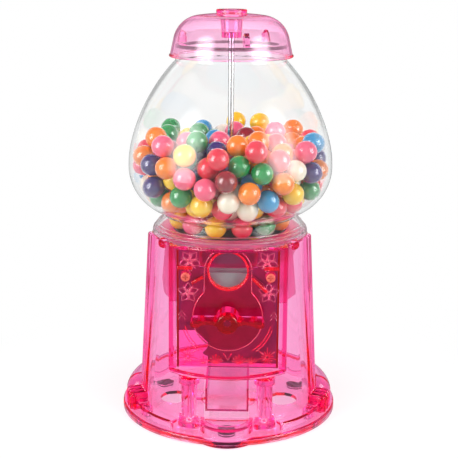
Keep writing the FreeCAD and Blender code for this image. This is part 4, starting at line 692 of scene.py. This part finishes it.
def sparkle_lamp(name, place, width, power):
    """A small round lamp for the polish of the gumballs alone."""
    lamp = area_lamp(name, "DISK", place, power)
    lamp.data.size = width
    lamp.visible_diffuse = False
    polished = bpy.data.collections.new(name)
    for node_name, node in NODES.items():
        if "gumballs" in node_name:
            polished.objects.link(node)
    lamp.light_linking.receiver_collection = polished


def softbox(name, place, size, power):
    """A soft studio lamp that lights the object and doesn't show in its gloss."""
    lamp = area_lamp(name, "RECTANGLE", place, power)
    lamp.data.size, lamp.data.size_y = size
    lamp.visible_glossy = False


def glow_panel(name, place):
    """A tall white panel, brightest at its middle, that only shows mirrored in the object's gloss."""
    width, height = PANEL_SIZE
    bpy.ops.mesh.primitive_grid_add(x_subdivisions=8, y_subdivisions=8, size=1.0)
    panel = bpy.context.object
    panel.name = name
    panel.scale = (width, height, 1.0)
    bpy.ops.object.transform_apply(location=False, rotation=False, scale=True)
    panel.location = place
    panel.rotation_euler = (Vector(place) - Vector(PANEL_AIM)).to_track_quat("Z", "Y").to_euler()
    material, tree, output = new_material(name)
    spot = tree.nodes.new("ShaderNodeTexCoord")
    shrink = tree.nodes.new("ShaderNodeMapping")
    shrink.inputs["Scale"].default_value = (2.0 / width, 2.0 / height, 1.0)
    tree.links.new(spot.outputs["Object"], shrink.inputs["Vector"])
    away = length_of(tree, shrink.outputs["Vector"])
    fade = map_range(tree, away, PANEL_FADE, (PANEL_LEVEL, 0.0))
    ray = tree.nodes.new("ShaderNodeLightPath")
    mirrored = maths(tree, "MINIMUM", ray.outputs["Glossy Depth"], 1.0)
    glow = tree.nodes.new("ShaderNodeEmission")
    tree.links.new(maths(tree, "MULTIPLY", fade, mirrored), glow.inputs["Strength"])
    open_air = tree.nodes.new("ShaderNodeBsdfTransparent")
    both = tree.nodes.new("ShaderNodeAddShader")
    tree.links.new(glow.outputs["Emission"], both.inputs[0])
    tree.links.new(open_air.outputs["BSDF"], both.inputs[1])
    tree.links.new(both.outputs["Shader"], output.inputs["Surface"])
    panel.data.materials.append(material)
    panel.visible_camera = False
    panel.visible_diffuse = False
    panel.visible_shadow = False


def white_source(tree, kind, level):
    """A plain white background or emission, whose level is a number or a node's output."""
    node = tree.nodes.new(kind)
    node.inputs["Color"].default_value = WHITE
    feed(tree, node.inputs["Strength"], level)
    return node.outputs[0]


def through_level(tree):
    """The surroundings' level through plastic: white flats with dimmer gaps, and a dimmer ceiling."""
    way = tree.nodes.new("ShaderNodeTexCoord")
    parts = tree.nodes.new("ShaderNodeSeparateXYZ")
    tree.links.new(way.outputs["Generated"], parts.inputs["Vector"])
    ceiling = map_range(tree, parts.outputs["Z"], CEILING_SPAN, CEILING_LEVELS)
    turn = maths(tree, "ARCTAN2", parts.outputs["Y"], parts.outputs["X"])
    wave = maths(tree, "COSINE", maths(tree, "MULTIPLY", turn, FLAT_COUNT))
    flats = map_range(tree, wave, FLAT_SPAN, FLAT_LEVELS)
    return maths(tree, "MULTIPLY", ceiling, flats)


def studio_surroundings():
    """White surroundings, with levels of their own in gloss, through plastic and as light."""
    world = bpy.data.worlds.new("white_studio")
    world.use_nodes = True
    bpy.context.scene.world = world
    tree = world.node_tree
    tree.nodes.clear()
    output = tree.nodes.new("ShaderNodeOutputWorld")
    ray = tree.nodes.new("ShaderNodeLightPath")
    shown = white_source(tree, "ShaderNodeBackground", LIT_LEVEL)
    for kind, level in (
        ("Is Glossy Ray", MIRRORED_LEVEL),
        ("Is Transmission Ray", through_level(tree)),
        ("Is Camera Ray", SEEN_LEVEL),
    ):
        white = white_source(tree, "ShaderNodeBackground", level)
        shown = mix_shaders(tree, ray.outputs[kind], shown, white)
    tree.links.new(shown, output.inputs["Surface"])


def studio_floor():
    """A pale table top that keeps the object's shadow and runs out into the white surroundings."""
    bpy.ops.mesh.primitive_plane_add(size=FLOOR_SIZE, location=(0, 0, 0))
    floor = bpy.context.object
    floor.name = "studio_floor"
    material, tree, output = new_material("studio_floor")
    shader = tree.nodes.new("ShaderNodeBsdfPrincipled")
    shader.inputs["Roughness"].default_value = FLOOR_ROUGHNESS
    tinted(tree, shader, object_noise(tree, scale=1.5, detail=2.0), *FLOOR_TINTS)
    place = tree.nodes.new("ShaderNodeTexCoord")
    away = length_of(tree, place.outputs["Object"])
    fade = map_range(tree, away, FLOOR_FADE, FLOOR_WHITE)
    white = white_source(tree, "ShaderNodeEmission", SEEN_LEVEL)
    table = mix_shaders(tree, fade, shader.outputs["BSDF"], white)
    ray = tree.nodes.new("ShaderNodeLightPath")
    glossy, through = ray.outputs["Is Glossy Ray"], ray.outputs["Is Transmission Ray"]
    only_gloss = maths(tree, "SUBTRACT", glossy, through, clamp=True)
    dim = white_source(tree, "ShaderNodeEmission", FLOOR_MIRRORED)
    tree.links.new(mix_shaders(tree, only_gloss, table, dim), output.inputs["Surface"])
    floor.data.materials.append(material)


def studio():
    """Soft light from both sides and above, and tall panels that show in the gloss."""
    studio_surroundings()
    softbox("left_softbox", (-0.80, -0.55, 0.55), SIDE_SIZE, SIDE_POWER)
    softbox("right_softbox", (0.80, -0.55, 0.55), SIDE_SIZE, SIDE_POWER)
    softbox("top_softbox", (0.0, -0.20, 1.1), TOP_SIZE, TOP_POWER)
    glow_panel("left_panel", (-0.72, -0.56, 0.42))
    glow_panel("right_panel", (0.80, -0.44, 0.42))
    sparkle_lamp("left_sparkle", (-0.45, -0.72, 0.75), width=0.11, power=1.6)
    sparkle_lamp("right_sparkle", (0.50, -0.66, 0.72), width=0.09, power=1.0)
    studio_floor()
    cycles = bpy.context.scene.cycles
    cycles.max_bounces = LIGHT_BOUNCES
    cycles.glossy_bounces = LIGHT_BOUNCES
    cycles.transmission_bounces = LIGHT_BOUNCES
    cycles.transparent_max_bounces = SEE_THROUGH_BOUNCES


made = finishes()
dress_nodes(made)
face_ornament(made["pink_relief"], made["red_relief"])
face_bars(made["red_relief"])
column_frills(made["pink_relief"])
flare_rings(made["clear"])
aim_camera()
studio()
